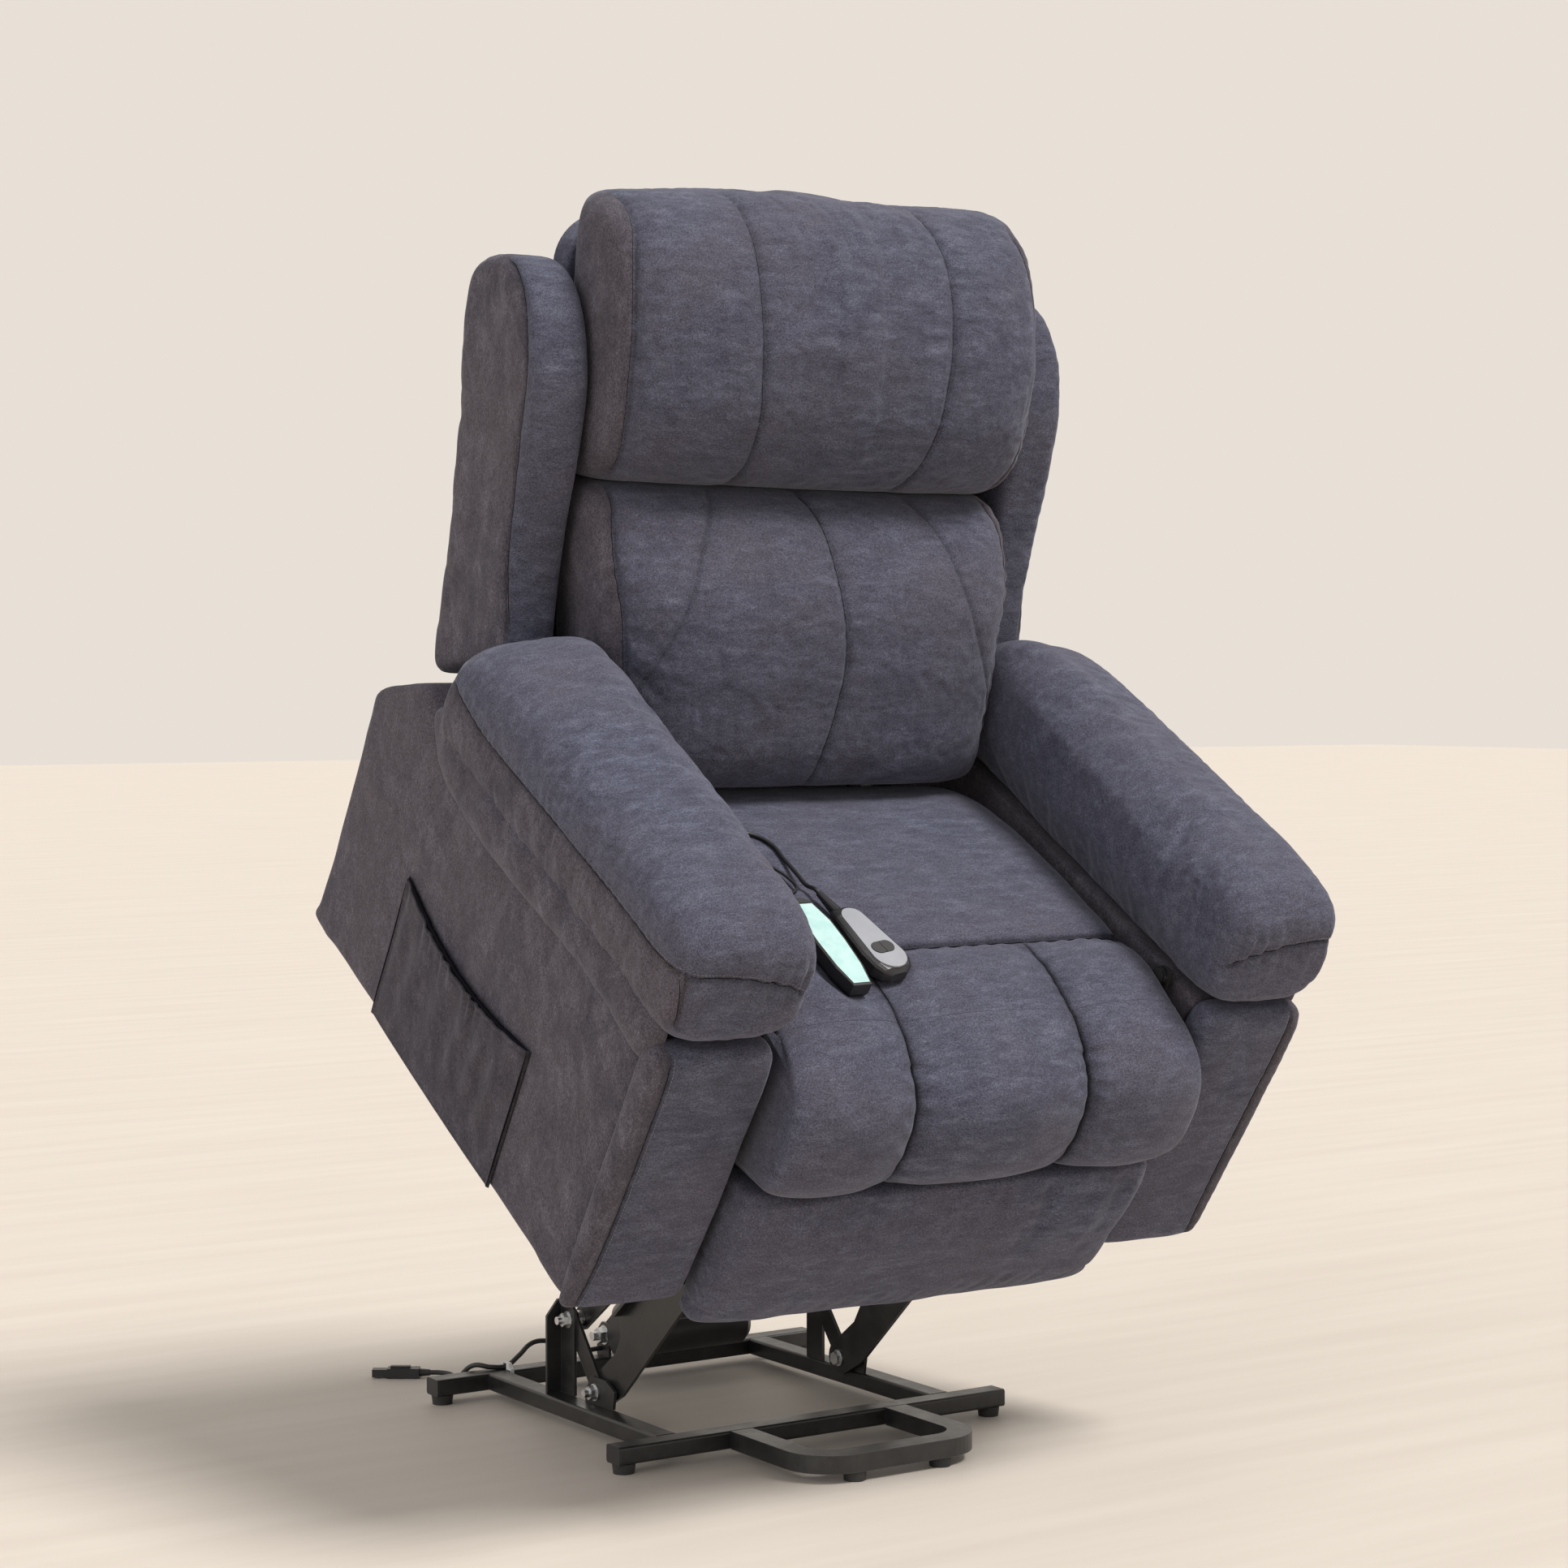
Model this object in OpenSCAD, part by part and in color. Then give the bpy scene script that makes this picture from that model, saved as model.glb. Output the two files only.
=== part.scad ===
// Lift recliner chair, shown raised: a tube base with a powered four-bar lift,
// a tilting seat body with padded arms, a reclining winged back and a footrest.
// Millimetres, +Z up. The chair faces -Y, and the sitter's right hand is on -X.

/* [Base frame] */
// length of the front cross rail
front_rail_l = 556; // [520:1:590]
// length of the rear cross rail
rear_rail_l = 570; // [540:1:590]
// distance between the centres of the cross rails
rail_spacing = 437; // [420:1:460]
// distance across the outer faces of the side rails
side_rails_across = 428; // [420:1:440]
// width of every rail tube
rail_w = 30; // [26:1:34]
// height of every rail tube
rail_h = 21.5; // [18:0.5:24]
// wall of the rail tubes
tube_wall = 2; // [1.5:0.1:3]
// reach of the front loop ahead of the front rail's centre
loop_reach = 190; // [170:1:210]
// distance across the loop's outer faces
loop_across = 254; // [220:1:280]
// outer corner radius of the loop
loop_r = 60; // [45:1:75]
// length of the plastic plug that closes a rail end
plug_l = 20; // [12:1:30]
// diameter of a floor foot
foot_d = 28; // [22:1:30]
// height of a floor foot
foot_h = 12; // [8:1:16]
// inset of a foot's centre from a rail end
foot_inset = 14.5; // [14.5:0.5:24]

/* [Lift linkage] */
// tilt of the raised seat body
tilt = 31.5; // [28:0.5:34]
// rear to front distance of the upper base pivot from the front rail
upper_pivot_y = 263; // [255:1:270]
// height of the upper base pivot
upper_pivot_z = 127; // [120:1:135]
// rear to front distance of the lower base pivot from the front rail
lower_pivot_y = 198; // [190:1:206]
// height of the lower base pivot
lower_pivot_z = 48; // [46:1:56]
// distance of the lower lift pivot ahead of the seat body's rear edge
seat_pivot_f = 660; // [645:1:670]
// height of the lower lift pivot above the seat body's bottom edge
seat_pivot_h = 50; // [44:1:60]
// how far the upper lift pivot sits behind the lower one
pivot_gap_f = 67; // [60:1:75]
// how far the upper lift pivot sits above the lower one
pivot_gap_h = 14; // [8:1:20]
// radius of the lift pivot pins
pin_r = 5; // [4:0.5:6]
// radial running clearance of a pin in its link
run_fit = 0.05; // [0.02:0.01:0.1]
// thickness of the lift links
link_t = 5; // [4:0.5:6]
// thickness of the base plates
plate_t = 4; // [3:0.5:5]
// gap between plates that slide past each other
side_gap = 0.3; // [0.2:0.1:0.5]
// height of the corner posts' tops
post_top_z = 150; // [145:1:158]

/* [Lift actuator] */
// sideways place of the actuator
actuator_x = -15; // [-30:1:0]
// radius of the actuator's outer tube
outer_tube_r = 21; // [18:1:24]
// radius of the chromed rod
rod_r = 10; // [8:0.5:12]
// length of the outer tube from its rear pivot
outer_tube_l = 470; // [440:1:490]
// radius of the motor
motor_r = 29; // [24:1:31]
// length of the motor
motor_l = 138; // [110:1:150]
// distance of the rod's pivot ahead of the seat body's rear edge
rod_pivot_f = 520; // [505:1:535]
// height of the rod's pivot above the seat body's bottom edge
rod_pivot_h = 110; // [104:1:116]

/* [Seat body] */
// rear bottom corner of the raised seat body behind the front rail
corner_y = 462; // [456:1:468]
// height of that corner
corner_z = 623; // [617:1:629]
// depth of an arm box
arm_box_l = 725; // [700:1:740]
// room between the seat cushion and an arm box, where the footrest arms swing
seat_side_gap = 24; // [22:1:30]
// thickness of an arm box
arm_box_w = 132; // [124:1:136]
// height of the arm box at the front
arm_box_h = 360; // [350:1:368]
// height of the arm box at the rear
arm_rear_h = 329; // [315:1:340]
// wall of the upholstered boxes
box_wall = 14; // [10:1:20]
// how far an arm pad stands out from its arm box
arm_pad_proud = 24; // [16:1:30]
// width of an arm pad
arm_pad_w = 176; // [165:1:180]
// height of the arm pad's crown
arm_pad_top_h = 530; // [515:1:540]
// front end of the arm pad
arm_pad_front_f = 768; // [755:1:775]
// thickness of the padded front panel at its foot
front_panel_low_t = 22; // [16:1:26]
// thickness of the padded front panel at its top
front_panel_high_t = 43; // [34:1:45]
// width of the seat cushion
seat_w = 552; // [540:1:554]
// height of the seat cushion's crown
seat_top_h = 376; // [368:1:384]
// height of the seat cushion's underside
seat_low_h = 252; // [246:1:258]
// depth of the seat cushion's front nose
seat_nose_f = 728; // [715:1:730]

/* [Back] */
// lean of the back in the seat body
back_lean = 20.9; // [18:0.1:24]
// gap between the head cushion and a wing
head_side_gap = 6; // [1:1:12]
// height of the head cushion's top along the back
head_top_u = 941; // [925:1:955]
// height of the seam between head and lower cushion along the back
back_seam_u = 597; // [585:1:605]
// how far a wing's inner face lies outside an arm box's inner face
wing_offset = 6; // [0:1:10]
// thickness of a wing
wing_t = 78; // [68:1:80]
// height of the wing's top along the back
wing_top_u = 843; // [825:1:855]

/* [Footrest] */
// gap between the footrest and an arm box's inner face
footrest_side_gap = 8; // [6:1:16]
// bottom edge of the footrest's foot panel below the seat body's bottom edge
footrest_low = 30; // [10:1:34]
// height of the seam between the channel pad and the foot panel
footrest_seam_h = 174; // [165:1:185]
// distance of a channel seam from the middle of the pad
channel_seam_x = 120; // [100:1:140]

/* [Handsets and cords] */
// length of the round-ended lift handset
handset_l = 114; // [100:1:120]
// width of the lift handset
handset_w = 58; // [50:1:60]
// thickness of the lift handset
handset_t = 24; // [20:1:26]
// travel of a handset button
button_travel = 1; // [0.5:0.1:1.5]
// diameter of the power cord
power_cord_d = 6.4; // [5:0.1:7]
// diameter of the lift handset's cord
handset_cord_d = 5; // [4:0.1:6]
// diameter of the massage handset's cord
massage_cord_d = 3.6; // [3:0.1:4]

/* [Hidden] */
$fn = 48;
soft_n = 20;          // points round a soft section
origin_y = 3.67;      // middle of the chair's depth behind the front rail's centre

black = [0.05, 0.05, 0.055];
zinc = [0.72, 0.74, 0.76];
fabric = [0.24, 0.25, 0.30];
wood = [0.72, 0.58, 0.42];
plastic = [0.07, 0.07, 0.08];

// base levels
rail_low = foot_h;
rail_top = foot_h + rail_h;
side_x = side_rails_across / 2 - rail_w / 2;
plate_x = side_x - rail_w / 2;              // inner face of a side rail

// stack of plates at the pivots, from the side rail inwards
brace_x = plate_x - plate_t;
low_link_x = brace_x - side_gap - link_t;
bracket_x = low_link_x - side_gap - link_t;
up_link_x = bracket_x - side_gap - link_t;
upper_pivot = [upper_pivot_y, upper_pivot_z];
lower_pivot = [lower_pivot_y, lower_pivot_z];

// a place in the seat body, f behind to front and h upwards, as [y, z] when raised
function raised(f, h) = [corner_y - f * cos(tilt) - h * sin(tilt),
                         corner_z - f * sin(tilt) + h * cos(tilt)];
function heading(a, b) = atan2(b[1] - a[1], b[0] - a[0]);
lift_low = [seat_pivot_f, seat_pivot_h];
lift_up = [seat_pivot_f - pivot_gap_f, seat_pivot_h + pivot_gap_h];
low_end = raised(lift_low[0], lift_low[1]);
up_end = raised(lift_up[0], lift_up[1]);
low_link_l = norm(low_end - lower_pivot);
up_link_l = norm(up_end - upper_pivot);
open_r = 12;          // radius of the opened upper pivot's hole
torque_s = 200;       // place of the torque tube along the lower link
torque_r = 16;

// actuator
actuator_pivot = [rail_spacing - 5, rail_top + 28.5];
rod_pin_r = 6;
rod_open_r = 18;      // radius of the hole in the rod's eye
rod_eye_r = 26;
eye_half = 11;        // half the eye's width
rod_end = raised(rod_pivot_f, rod_pivot_h);
actuator_l = norm(rod_end - actuator_pivot);
actuator_turn = heading(actuator_pivot, rod_end);
ear_gap = 34;         // between the rear bracket's ears
ear_t = 4;

// seat body
arm_in = seat_w / 2 + seat_side_gap;       // inner face of an arm box
arm_x = arm_in + arm_box_w;                // outer face
seat_low_frame = 130;  // underside of the steel seat frame
frame_tube = 30;
rod_tube_r = 15;
frame_x = bracket_x + link_t + frame_tube / 2;
box_front_f = 620;     // front of the wooden seat box
box_rear_f = 150;
hinge_f = 100;         // back hinge
hinge_h = 250;
hinge_pin_r = 6;

// back: u runs up along it, v forward from its rear face
back_f = 136.8;
back_h = 52.3;
back_t = 60;           // depth of the back's frame
hinge_u = (hinge_h - back_h) * cos(back_lean) - (hinge_f - back_f) * sin(back_lean);
hinge_v = (hinge_f - back_f) * cos(back_lean) + (hinge_h - back_h) * sin(back_lean);

// footrest
arm_pin_f = 644;
arm_pin_h = 256;
board_pin_f = 680;
board_pin_h = 360;
arm_pin_r = 5;
arm_plate_x = seat_w / 2 + 5;
arm_plate_t = 5;
board_f = 692;         // rear face of the footrest board
board_t = 15;
pad_top_h = 345;        // top of the footrest behind the seat's nose
footrest_w = 2 * (arm_in - footrest_side_gap);

// ---- general shapes ----

function power(c, n) = sign(c) * pow(abs(c), 2 / n);
// closed rounded section of half sizes a and b about c, in the plane of u and v
function ring(c, u, v, a, b, n) =
    [for (i = [0:soft_n - 1]) c + u * a * power(cos(360 * i / soft_n), n)
                                + v * b * power(sin(360 * i / soft_n), n)];

function middle(r) = [for (i = [0:len(r) - 1]) 1] * r / len(r);
// solid through a row of sections that all have the same number of points
module loft(rings) {
    k = len(rings[0]);
    m = len(rings);
    n = m * k;
    side = [for (j = [0:m - 2], i = [0:k - 1]) each let (a = j * k + i, b = j * k + (i + 1) % k)
        [[a, b, a + k], [b, b + k, a + k]]];
    first = [for (i = [0:k - 1]) [n, (i + 1) % k, i]];
    last = [for (i = [0:k - 1]) [n + 1, n - k + i, n - k + (i + 1) % k]];
    polyhedron(points = concat([for (r = rings) each r], [middle(rings[0]), middle(rings[m - 1])]),
        faces = concat(first, side, last));
}

// one ring of a tube along a list of points
function unit(v) = v / norm(v);
function along(p, i) = unit(p[min(i + 1, len(p) - 1)] - p[max(i - 1, 0)]);
function frame_u(p, i) = i == 0
    ? unit(cross(along(p, 0), abs(along(p, 0)[2]) < 0.9 ? [0, 0, 1] : [1, 0, 0]))
    : let (u = frame_u(p, i - 1), t = along(p, i)) unit(u - t * (u * t));
module cord(p, d, sides = 8) {
    loft([for (i = [0:len(p) - 1]) let (t = along(p, i), u = frame_u(p, i), v = cross(t, u))
        [for (s = [0:sides - 1]) p[i] + d / 2 * (u * cos(-360 * s / sides) + v * sin(-360 * s / sides))]]);
}
// smooth points through a route, steps to a span
function blend(a, b, c, d, t) = 0.5 * (2 * b + (c - a) * t + (2 * a - 5 * b + 4 * c - d) * t * t
    + (3 * b - a - 3 * c + d) * t * t * t);
function smooth(p, steps) = concat([for (i = [0:len(p) - 2], s = [0:steps - 1])
    blend(p[max(i - 1, 0)], p[i], p[i + 1], p[min(i + 2, len(p) - 1)], s / steps)], [p[len(p) - 1]]);

// side = 1 is the sitter's left, -1 the right
module on_side(side) {
    if (side > 0) children();
    else mirror([1, 0, 0]) children();
}
module in_chair() {
    translate([0, corner_y, corner_z]) rotate([tilt, 0, 0]) children();
}
module in_back() {
    in_chair() translate([0, -back_f, back_h]) rotate([-back_lean, 0, 0]) children();
}
// plate in a side plane from x to x + t, its outline given as [y, z]
module side_plate(x, t) {
    translate([x, 0, 0]) rotate([90, 0, 90]) linear_extrude(t) children();
}
// the same in the seat body, its outline given as [f, h]
module chair_plate(x, t) {
    translate([x, 0, 0]) rotate([90, 0, 90]) linear_extrude(t) mirror([1, 0]) children();
}
module x_rod(x, y, z, l, r) {
    translate([x, y, z]) rotate([0, 90, 0]) cylinder(r = r, h = l);
}
// bolt with its head at x and the shank running outwards, nut face at grip
module x_bolt(x, y, z, r, grip, head_out = false) {
    washer_t = 1.6;
    translate([x, y, z]) rotate([0, 90, 0]) {
        translate([0, 0, -washer_t - 1.2 * r]) cylinder(r = 1.75 * r, h = 1.2 * r, $fn = 6);
        translate([0, 0, -washer_t]) cylinder(r = 2.1 * r, h = washer_t);
        translate([0, 0, -washer_t]) cylinder(r = r, h = grip + 2 * washer_t + 3 * r);
        translate([0, 0, grip]) cylinder(r = 2.1 * r, h = washer_t);
        translate([0, 0, grip + washer_t]) cylinder(r = 1.75 * r, h = 1.6 * r, $fn = 6);
    }
}

// ---- base ----

// rectangle with round corners, centred across and standing on its base line
module rounded(w, h, r) {
    translate([-w / 2 + r, 0]) square([w - 2 * r, h]);
    translate([-w / 2, r]) square([w, h - 2 * r]);
    for (x = [r - w / 2, w / 2 - r], y = [r, h - r]) translate([x, y]) circle(r = r);
}
rail_r = 3.5;         // corner radius of the rail tubes
module rail_tube(l) {
    translate([-l / 2, 0, 0]) rotate([90, 0, 90]) linear_extrude(l) difference() {
        rounded(rail_w, rail_h, rail_r);
        translate([0, tube_wall])
            rounded(rail_w - 2 * tube_wall, rail_h - 2 * tube_wall, rail_r - tube_wall);
    }
}
module cross_rail(l, y) {
    color(black) translate([0, y, rail_low]) rail_tube(l);
}
module front_rail() cross_rail(front_rail_l, 0);
module rear_rail() cross_rail(rear_rail_l, rail_spacing);
module side_rail(side) {
    color(black) translate([side * side_x, rail_spacing / 2, rail_low]) rotate(90)
        rail_tube(rail_spacing - rail_w);
}

// plan of the loop inside its outer edge by d, reaching back to rear
module loop_plan(d, rear) {
    half = loop_across / 2;
    hull() {
        for (s = [-1, 1]) translate([s * (half - loop_r), loop_r - loop_reach]) circle(r = loop_r - d);
        translate([d - half, rear - 1]) square([2 * (half - d), 1]);
    }
}
module front_loop() {
    back_edge = -rail_w / 2;
    color(black) difference() {
        translate([0, 0, rail_low]) linear_extrude(rail_h) difference() {
            loop_plan(0, back_edge);
            loop_plan(rail_w, back_edge + 2);
        }
        translate([0, 0, rail_low + tube_wall]) linear_extrude(rail_h - 2 * tube_wall) difference() {
            loop_plan(tube_wall, back_edge + 1);
            loop_plan(rail_w - tube_wall, back_edge + 3);
        }
    }
}

module rail_plug(side, l, y) {
    translate([side * l / 2, y, rail_low]) on_side(side) {
        rotate([90, 0, 90]) linear_extrude(2) rounded(rail_w, rail_h, rail_r);
        translate([-plug_l, 0, tube_wall]) rotate([90, 0, 90]) linear_extrude(plug_l + 1)
            rounded(rail_w - 2 * tube_wall, rail_h - 2 * tube_wall, rail_r - tube_wall);
    }
}
module rail_plugs() {
    color(plastic) for (side = [-1, 1]) {
        rail_plug(side, front_rail_l, 0);
        rail_plug(side, rear_rail_l, rail_spacing);
    }
}
module foot(x, y) {
    translate([x, y, 0]) cylinder(d1 = foot_d - 3, d2 = foot_d, h = foot_h);
}
module floor_feet() {
    color(plastic) for (side = [-1, 1]) {
        foot(side * (front_rail_l / 2 + 2 - foot_inset), 0);
        foot(side * (rear_rail_l / 2 + 2 - foot_inset), rail_spacing);
        foot(side * (loop_across / 2 - loop_r - 6), rail_w / 2 - loop_reach);
    }
}

// angle post that carries the upper pivot
post_l = 36;
post_flange = 20;
post_chamfer = 20;
module post(side) {
    post_front = upper_pivot_y - 14;
    color(black) on_side(side) {
        difference() {
            side_plate(plate_x, plate_t) polygon([
                [post_front, rail_top], [post_front + post_l, rail_top],
                [post_front + post_l, post_top_z], [post_front + 10, post_top_z],
                [post_front, post_top_z - 10]]);
            x_rod(plate_x - 1, upper_pivot_y, upper_pivot_z, plate_t + 2, pin_r + run_fit);
        }
        translate([plate_x + plate_t, post_front + post_l, 0]) rotate([90, 0, 0])
            linear_extrude(plate_t) polygon([[0, rail_top], [post_flange, rail_top],
                [post_flange, post_top_z - post_chamfer], [post_flange - post_chamfer * 0.8, post_top_z],
                [0, post_top_z]]);
    }
}
// low plate on the side rail that carries the lower pivot
module pivot_lugs() {
    color(black) for (side = [-1, 1]) on_side(side) difference() {
        side_plate(plate_x, plate_t) {
            polygon([
                [lower_pivot_y - 42, rail_top], [lower_pivot_y + 24, rail_top],
                [lower_pivot_y + 20, lower_pivot_z + 4], [lower_pivot_y + 8, lower_pivot_z + 18],
                [lower_pivot_y - 26, lower_pivot_z + 18], [lower_pivot_y - 46, lower_pivot_z + 8]]);
        }
        x_rod(plate_x - 1, lower_pivot_y, lower_pivot_z, plate_t + 2, pin_r + run_fit);
    }
}
// flat bar that ties the two base pivots together
module pivot_braces() {
    color(black) for (side = [-1, 1]) on_side(side) difference() {
        side_plate(brace_x, plate_t) {
            translate(upper_pivot) circle(r = 14);
            translate(lower_pivot) circle(r = 14);
            translate(lower_pivot) rotate(heading(lower_pivot, upper_pivot))
                translate([0, -13]) square([norm(upper_pivot - lower_pivot), 26]);
        }
        x_rod(brace_x - 1, upper_pivot_y, upper_pivot_z, plate_t + 2, pin_r + run_fit);
        x_rod(brace_x - 1, lower_pivot_y, lower_pivot_z, plate_t + 2, pin_r + run_fit);
    }
}
module upper_base_bolts() {
    head_x = up_link_x - side_gap;
    sleeve_x = up_link_x + link_t + side_gap;
    color(zinc) for (side = [-1, 1]) on_side(side) {
        x_bolt(head_x, upper_pivot_y, upper_pivot_z, pin_r, plate_x + plate_t - head_x);
        // sleeve between the upper link and the brace
        difference() {
            x_rod(sleeve_x, upper_pivot_y, upper_pivot_z, brace_x - sleeve_x, 2 * pin_r);
            x_rod(sleeve_x - 1, upper_pivot_y, upper_pivot_z, brace_x, pin_r + run_fit);
        }
    }
}
module lower_base_bolts() {
    head_x = low_link_x - side_gap;
    color(zinc) for (side = [-1, 1]) on_side(side)
        x_bolt(head_x, lower_pivot_y, lower_pivot_z, pin_r, plate_x + plate_t - head_x);
}
// two ears on the rear rail for the actuator
module actuator_bracket() {
    color(black) difference() {
        for (s = [-1, 1])
            side_plate(actuator_x + (s > 0 ? ear_gap / 2 : -ear_gap / 2 - ear_t), ear_t) polygon([
                [rail_spacing - rail_w / 2, rail_top], [rail_spacing + rail_w / 2, rail_top],
                [rail_spacing + rail_w / 2, actuator_pivot[1] + 4],
                [actuator_pivot[0] + 8, actuator_pivot[1] + 16],
                [actuator_pivot[0] - 10, actuator_pivot[1] + 16],
                [rail_spacing - rail_w / 2, actuator_pivot[1] + 10]]);
        x_rod(actuator_x - ear_gap, actuator_pivot[0], actuator_pivot[1], 2 * ear_gap, rod_pin_r + run_fit);
    }
}
module actuator_bolt() {
    head_x = actuator_x + ear_gap / 2 + ear_t;
    color(zinc) mirror([1, 0, 0])
        x_bolt(-head_x, actuator_pivot[0], actuator_pivot[1], rod_pin_r, ear_gap + 2 * ear_t);
}

// ---- lift links ----

module lower_link(side) {
    l = low_link_l;
    color(black) on_side(side) difference() {
        union() {
            side_plate(low_link_x, link_t) translate(lower_pivot)
                rotate(heading(lower_pivot, low_end)) mirror([0, 1]) {
                    circle(r = 22);
                    translate([l, 0]) circle(r = 20);
                    polygon([[0, -22], [40, -30], [torque_s + 20, -22], [l, -20], [l, 20],
                        [torque_s + 60, 34], [torque_s - 30, 48], [100, 50], [84, 26], [60, 18], [0, 22]]);
                }
            // stiffening lip turned outwards along the upper edge
            translate([low_link_x + link_t, 0, 0]) side_plate(0, 12) translate(lower_pivot)
                rotate(heading(lower_pivot, low_end)) mirror([0, 1])
                    polygon([[104, 45], [torque_s - 30, 43], [torque_s + 60, 29], [torque_s + 60, 33],
                        [torque_s - 30, 47], [104, 49]]);
        }
        x_rod(low_link_x - 1, lower_pivot[0], lower_pivot[1], link_t + 2, pin_r + run_fit);
        x_rod(low_link_x - 1, low_end[0], low_end[1], link_t + 2, pin_r + run_fit);
    }
}
module torque_tube() {
    p = lower_pivot + torque_s * unit(low_end - lower_pivot);
    color(black) difference() {
        x_rod(-low_link_x, p[0], p[1], 2 * low_link_x, torque_r);
        x_rod(-low_link_x - 1, p[0], p[1], 2 * low_link_x + 2, torque_r - tube_wall);
    }
}
module upper_link(side) {
    color(black) on_side(side) difference() {
        side_plate(up_link_x, link_t) translate(upper_pivot)
            rotate(heading(upper_pivot, up_end)) {
                circle(r = 15);
                translate([up_link_l, 0]) circle(r = 20);
                polygon([[0, -15], [up_link_l - 40, -15], [up_link_l, -20],
                    [up_link_l, 20], [up_link_l - 40, 15], [0, 15]]);
            }
        x_rod(up_link_x - 1, upper_pivot[0], upper_pivot[1], link_t + 2, pin_r + run_fit);
        x_rod(up_link_x - 1, up_end[0], up_end[1], link_t + 2, open_r);
    }
}

// ---- actuator: built along +X of its own plane, then turned to the raised pose ----

module on_actuator() {
    translate([actuator_x, actuator_pivot[0], actuator_pivot[1]]) rotate([actuator_turn, 0, 0]) children();
}
motor_back = 38;   // motor's place along the actuator
motor_drop = 23;   // and below its axis
collar_r = outer_tube_r + 5;
module gear_housing() {
    w = ear_gap - 2 * side_gap;
    color(plastic) on_actuator() difference() {
        union() {
            rotate([0, 90, 0]) cylinder(r = 15, h = w, center = true);
            translate([-w / 2, 0, -15]) cube([w, 45, 30]);
            translate([0, 38, 0]) rotate([-90, 0, 0]) cylinder(r = collar_r, h = 52);
            translate([0, motor_back, motor_drop]) rotate([0, 90, 0])
                cylinder(r = motor_r, h = 2 * collar_r, center = true);
        }
        rotate([0, 90, 0]) cylinder(r = rod_pin_r + run_fit, h = 3 * ear_gap, center = true);
        translate([0, tube_start, 0]) rotate([-90, 0, 0]) cylinder(r = outer_tube_r, h = 60);
    }
}
tube_start = 70;
module motor() {
    color(plastic) on_actuator() translate([collar_r, motor_back, motor_drop]) rotate([0, 90, 0]) {
        cylinder(r = motor_r, h = motor_l - 8);
        translate([0, 0, motor_l - 8]) cylinder(r1 = motor_r, r2 = motor_r - 6, h = 8);
    }
}
module outer_tube() {
    l = outer_tube_l - tube_start;
    color(plastic) on_actuator() translate([0, tube_start, 0]) rotate([-90, 0, 0]) difference() {
        cylinder(r = outer_tube_r, h = l);
        translate([0, 0, 10]) cylinder(r = outer_tube_r - 2.5, h = l - 22);
        translate([0, 0, l - 20]) cylinder(r = rod_r + run_fit, h = 40);
    }
}
module lift_rod() {
    rod_in = 170;
    color(zinc) on_actuator() {
        difference() {
            union() {
                translate([0, rod_in, 0]) rotate([-90, 0, 0]) cylinder(r = rod_r, h = actuator_l - rod_in);
                translate([0, actuator_l, 0]) rotate([0, 90, 0])
                    cylinder(r = rod_eye_r, h = 2 * eye_half, center = true);
            }
            translate([0, actuator_l, 0]) rotate([0, 90, 0])
                cylinder(r = rod_open_r, h = 30, center = true);
        }
    }
}

// ---- seat body: x, then -f, then h ----

// tubular seat frame with the rod's clevis and the back's hinge plates
clevis_f = rod_pivot_f - 40;
clevis_h = rod_pivot_h + 40;
module seat_frame() {
    wall = tube_wall;
    color(black) in_chair() {
        for (side = [-1, 1]) on_side(side) {
            difference() {
                translate([frame_x - frame_tube / 2, -frame_front_f + 25, seat_low_frame])
                    cube([frame_tube, frame_front_f - 90, frame_tube]);
                translate([frame_x - frame_tube / 2 + wall, -frame_front_f, seat_low_frame + wall])
                    cube([frame_tube - 2 * wall, frame_front_f, frame_tube - 2 * wall]);
            }
            hinge_plate();
        }
        for (f = [40, frame_front_f - 25]) difference() {
            translate([-frame_half, -f - 25, seat_low_frame]) cube([2 * frame_half, 25, frame_tube]);
            translate([-frame_half - 1, -f - 25 + wall, seat_low_frame + wall])
                cube([2 * frame_half + 2, 25 - 2 * wall, frame_tube - 2 * wall]);
        }
        difference() {
            x_rod(-frame_x + frame_tube / 2, -clevis_f, clevis_h, 2 * frame_x - frame_tube, rod_tube_r);
            x_rod(-frame_x, -clevis_f, clevis_h, 2 * frame_x, rod_tube_r - wall);
        }
        for (s = [-1, 1]) chair_plate(actuator_x + s * (eye_half + side_gap) + (s < 0 ? -5 : 0), 5)
            difference() {
                union() {
                    translate([rod_pivot_f, rod_pivot_h]) circle(r = rod_open_r + 4);
                    translate([rod_pivot_f, rod_pivot_h]) rotate(135) translate([0, -16])
                        square([norm([clevis_f - rod_pivot_f, clevis_h - rod_pivot_h]), 32]);
                }
                translate([clevis_f, clevis_h]) circle(r = rod_tube_r);
                translate([rod_pivot_f, rod_pivot_h]) circle(r = rod_pin_r);
            }
    }
}
frame_front_f = 665;
frame_half = arm_in - side_gap;
stile_x = seat_w / 2 - 1;         // outer face of a back stile
module hinge_plate() {
    chair_plate(stile_x + side_gap, 4) difference() {
        union() {
            translate([hinge_f, hinge_h]) circle(r = 18);
            polygon([[40, seat_low_frame], [75, seat_low_frame],
                [hinge_f + 18, hinge_h], [hinge_f - 18, hinge_h]]);
        }
        translate([hinge_f, hinge_h]) circle(r = hinge_pin_r);
    }
}
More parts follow.
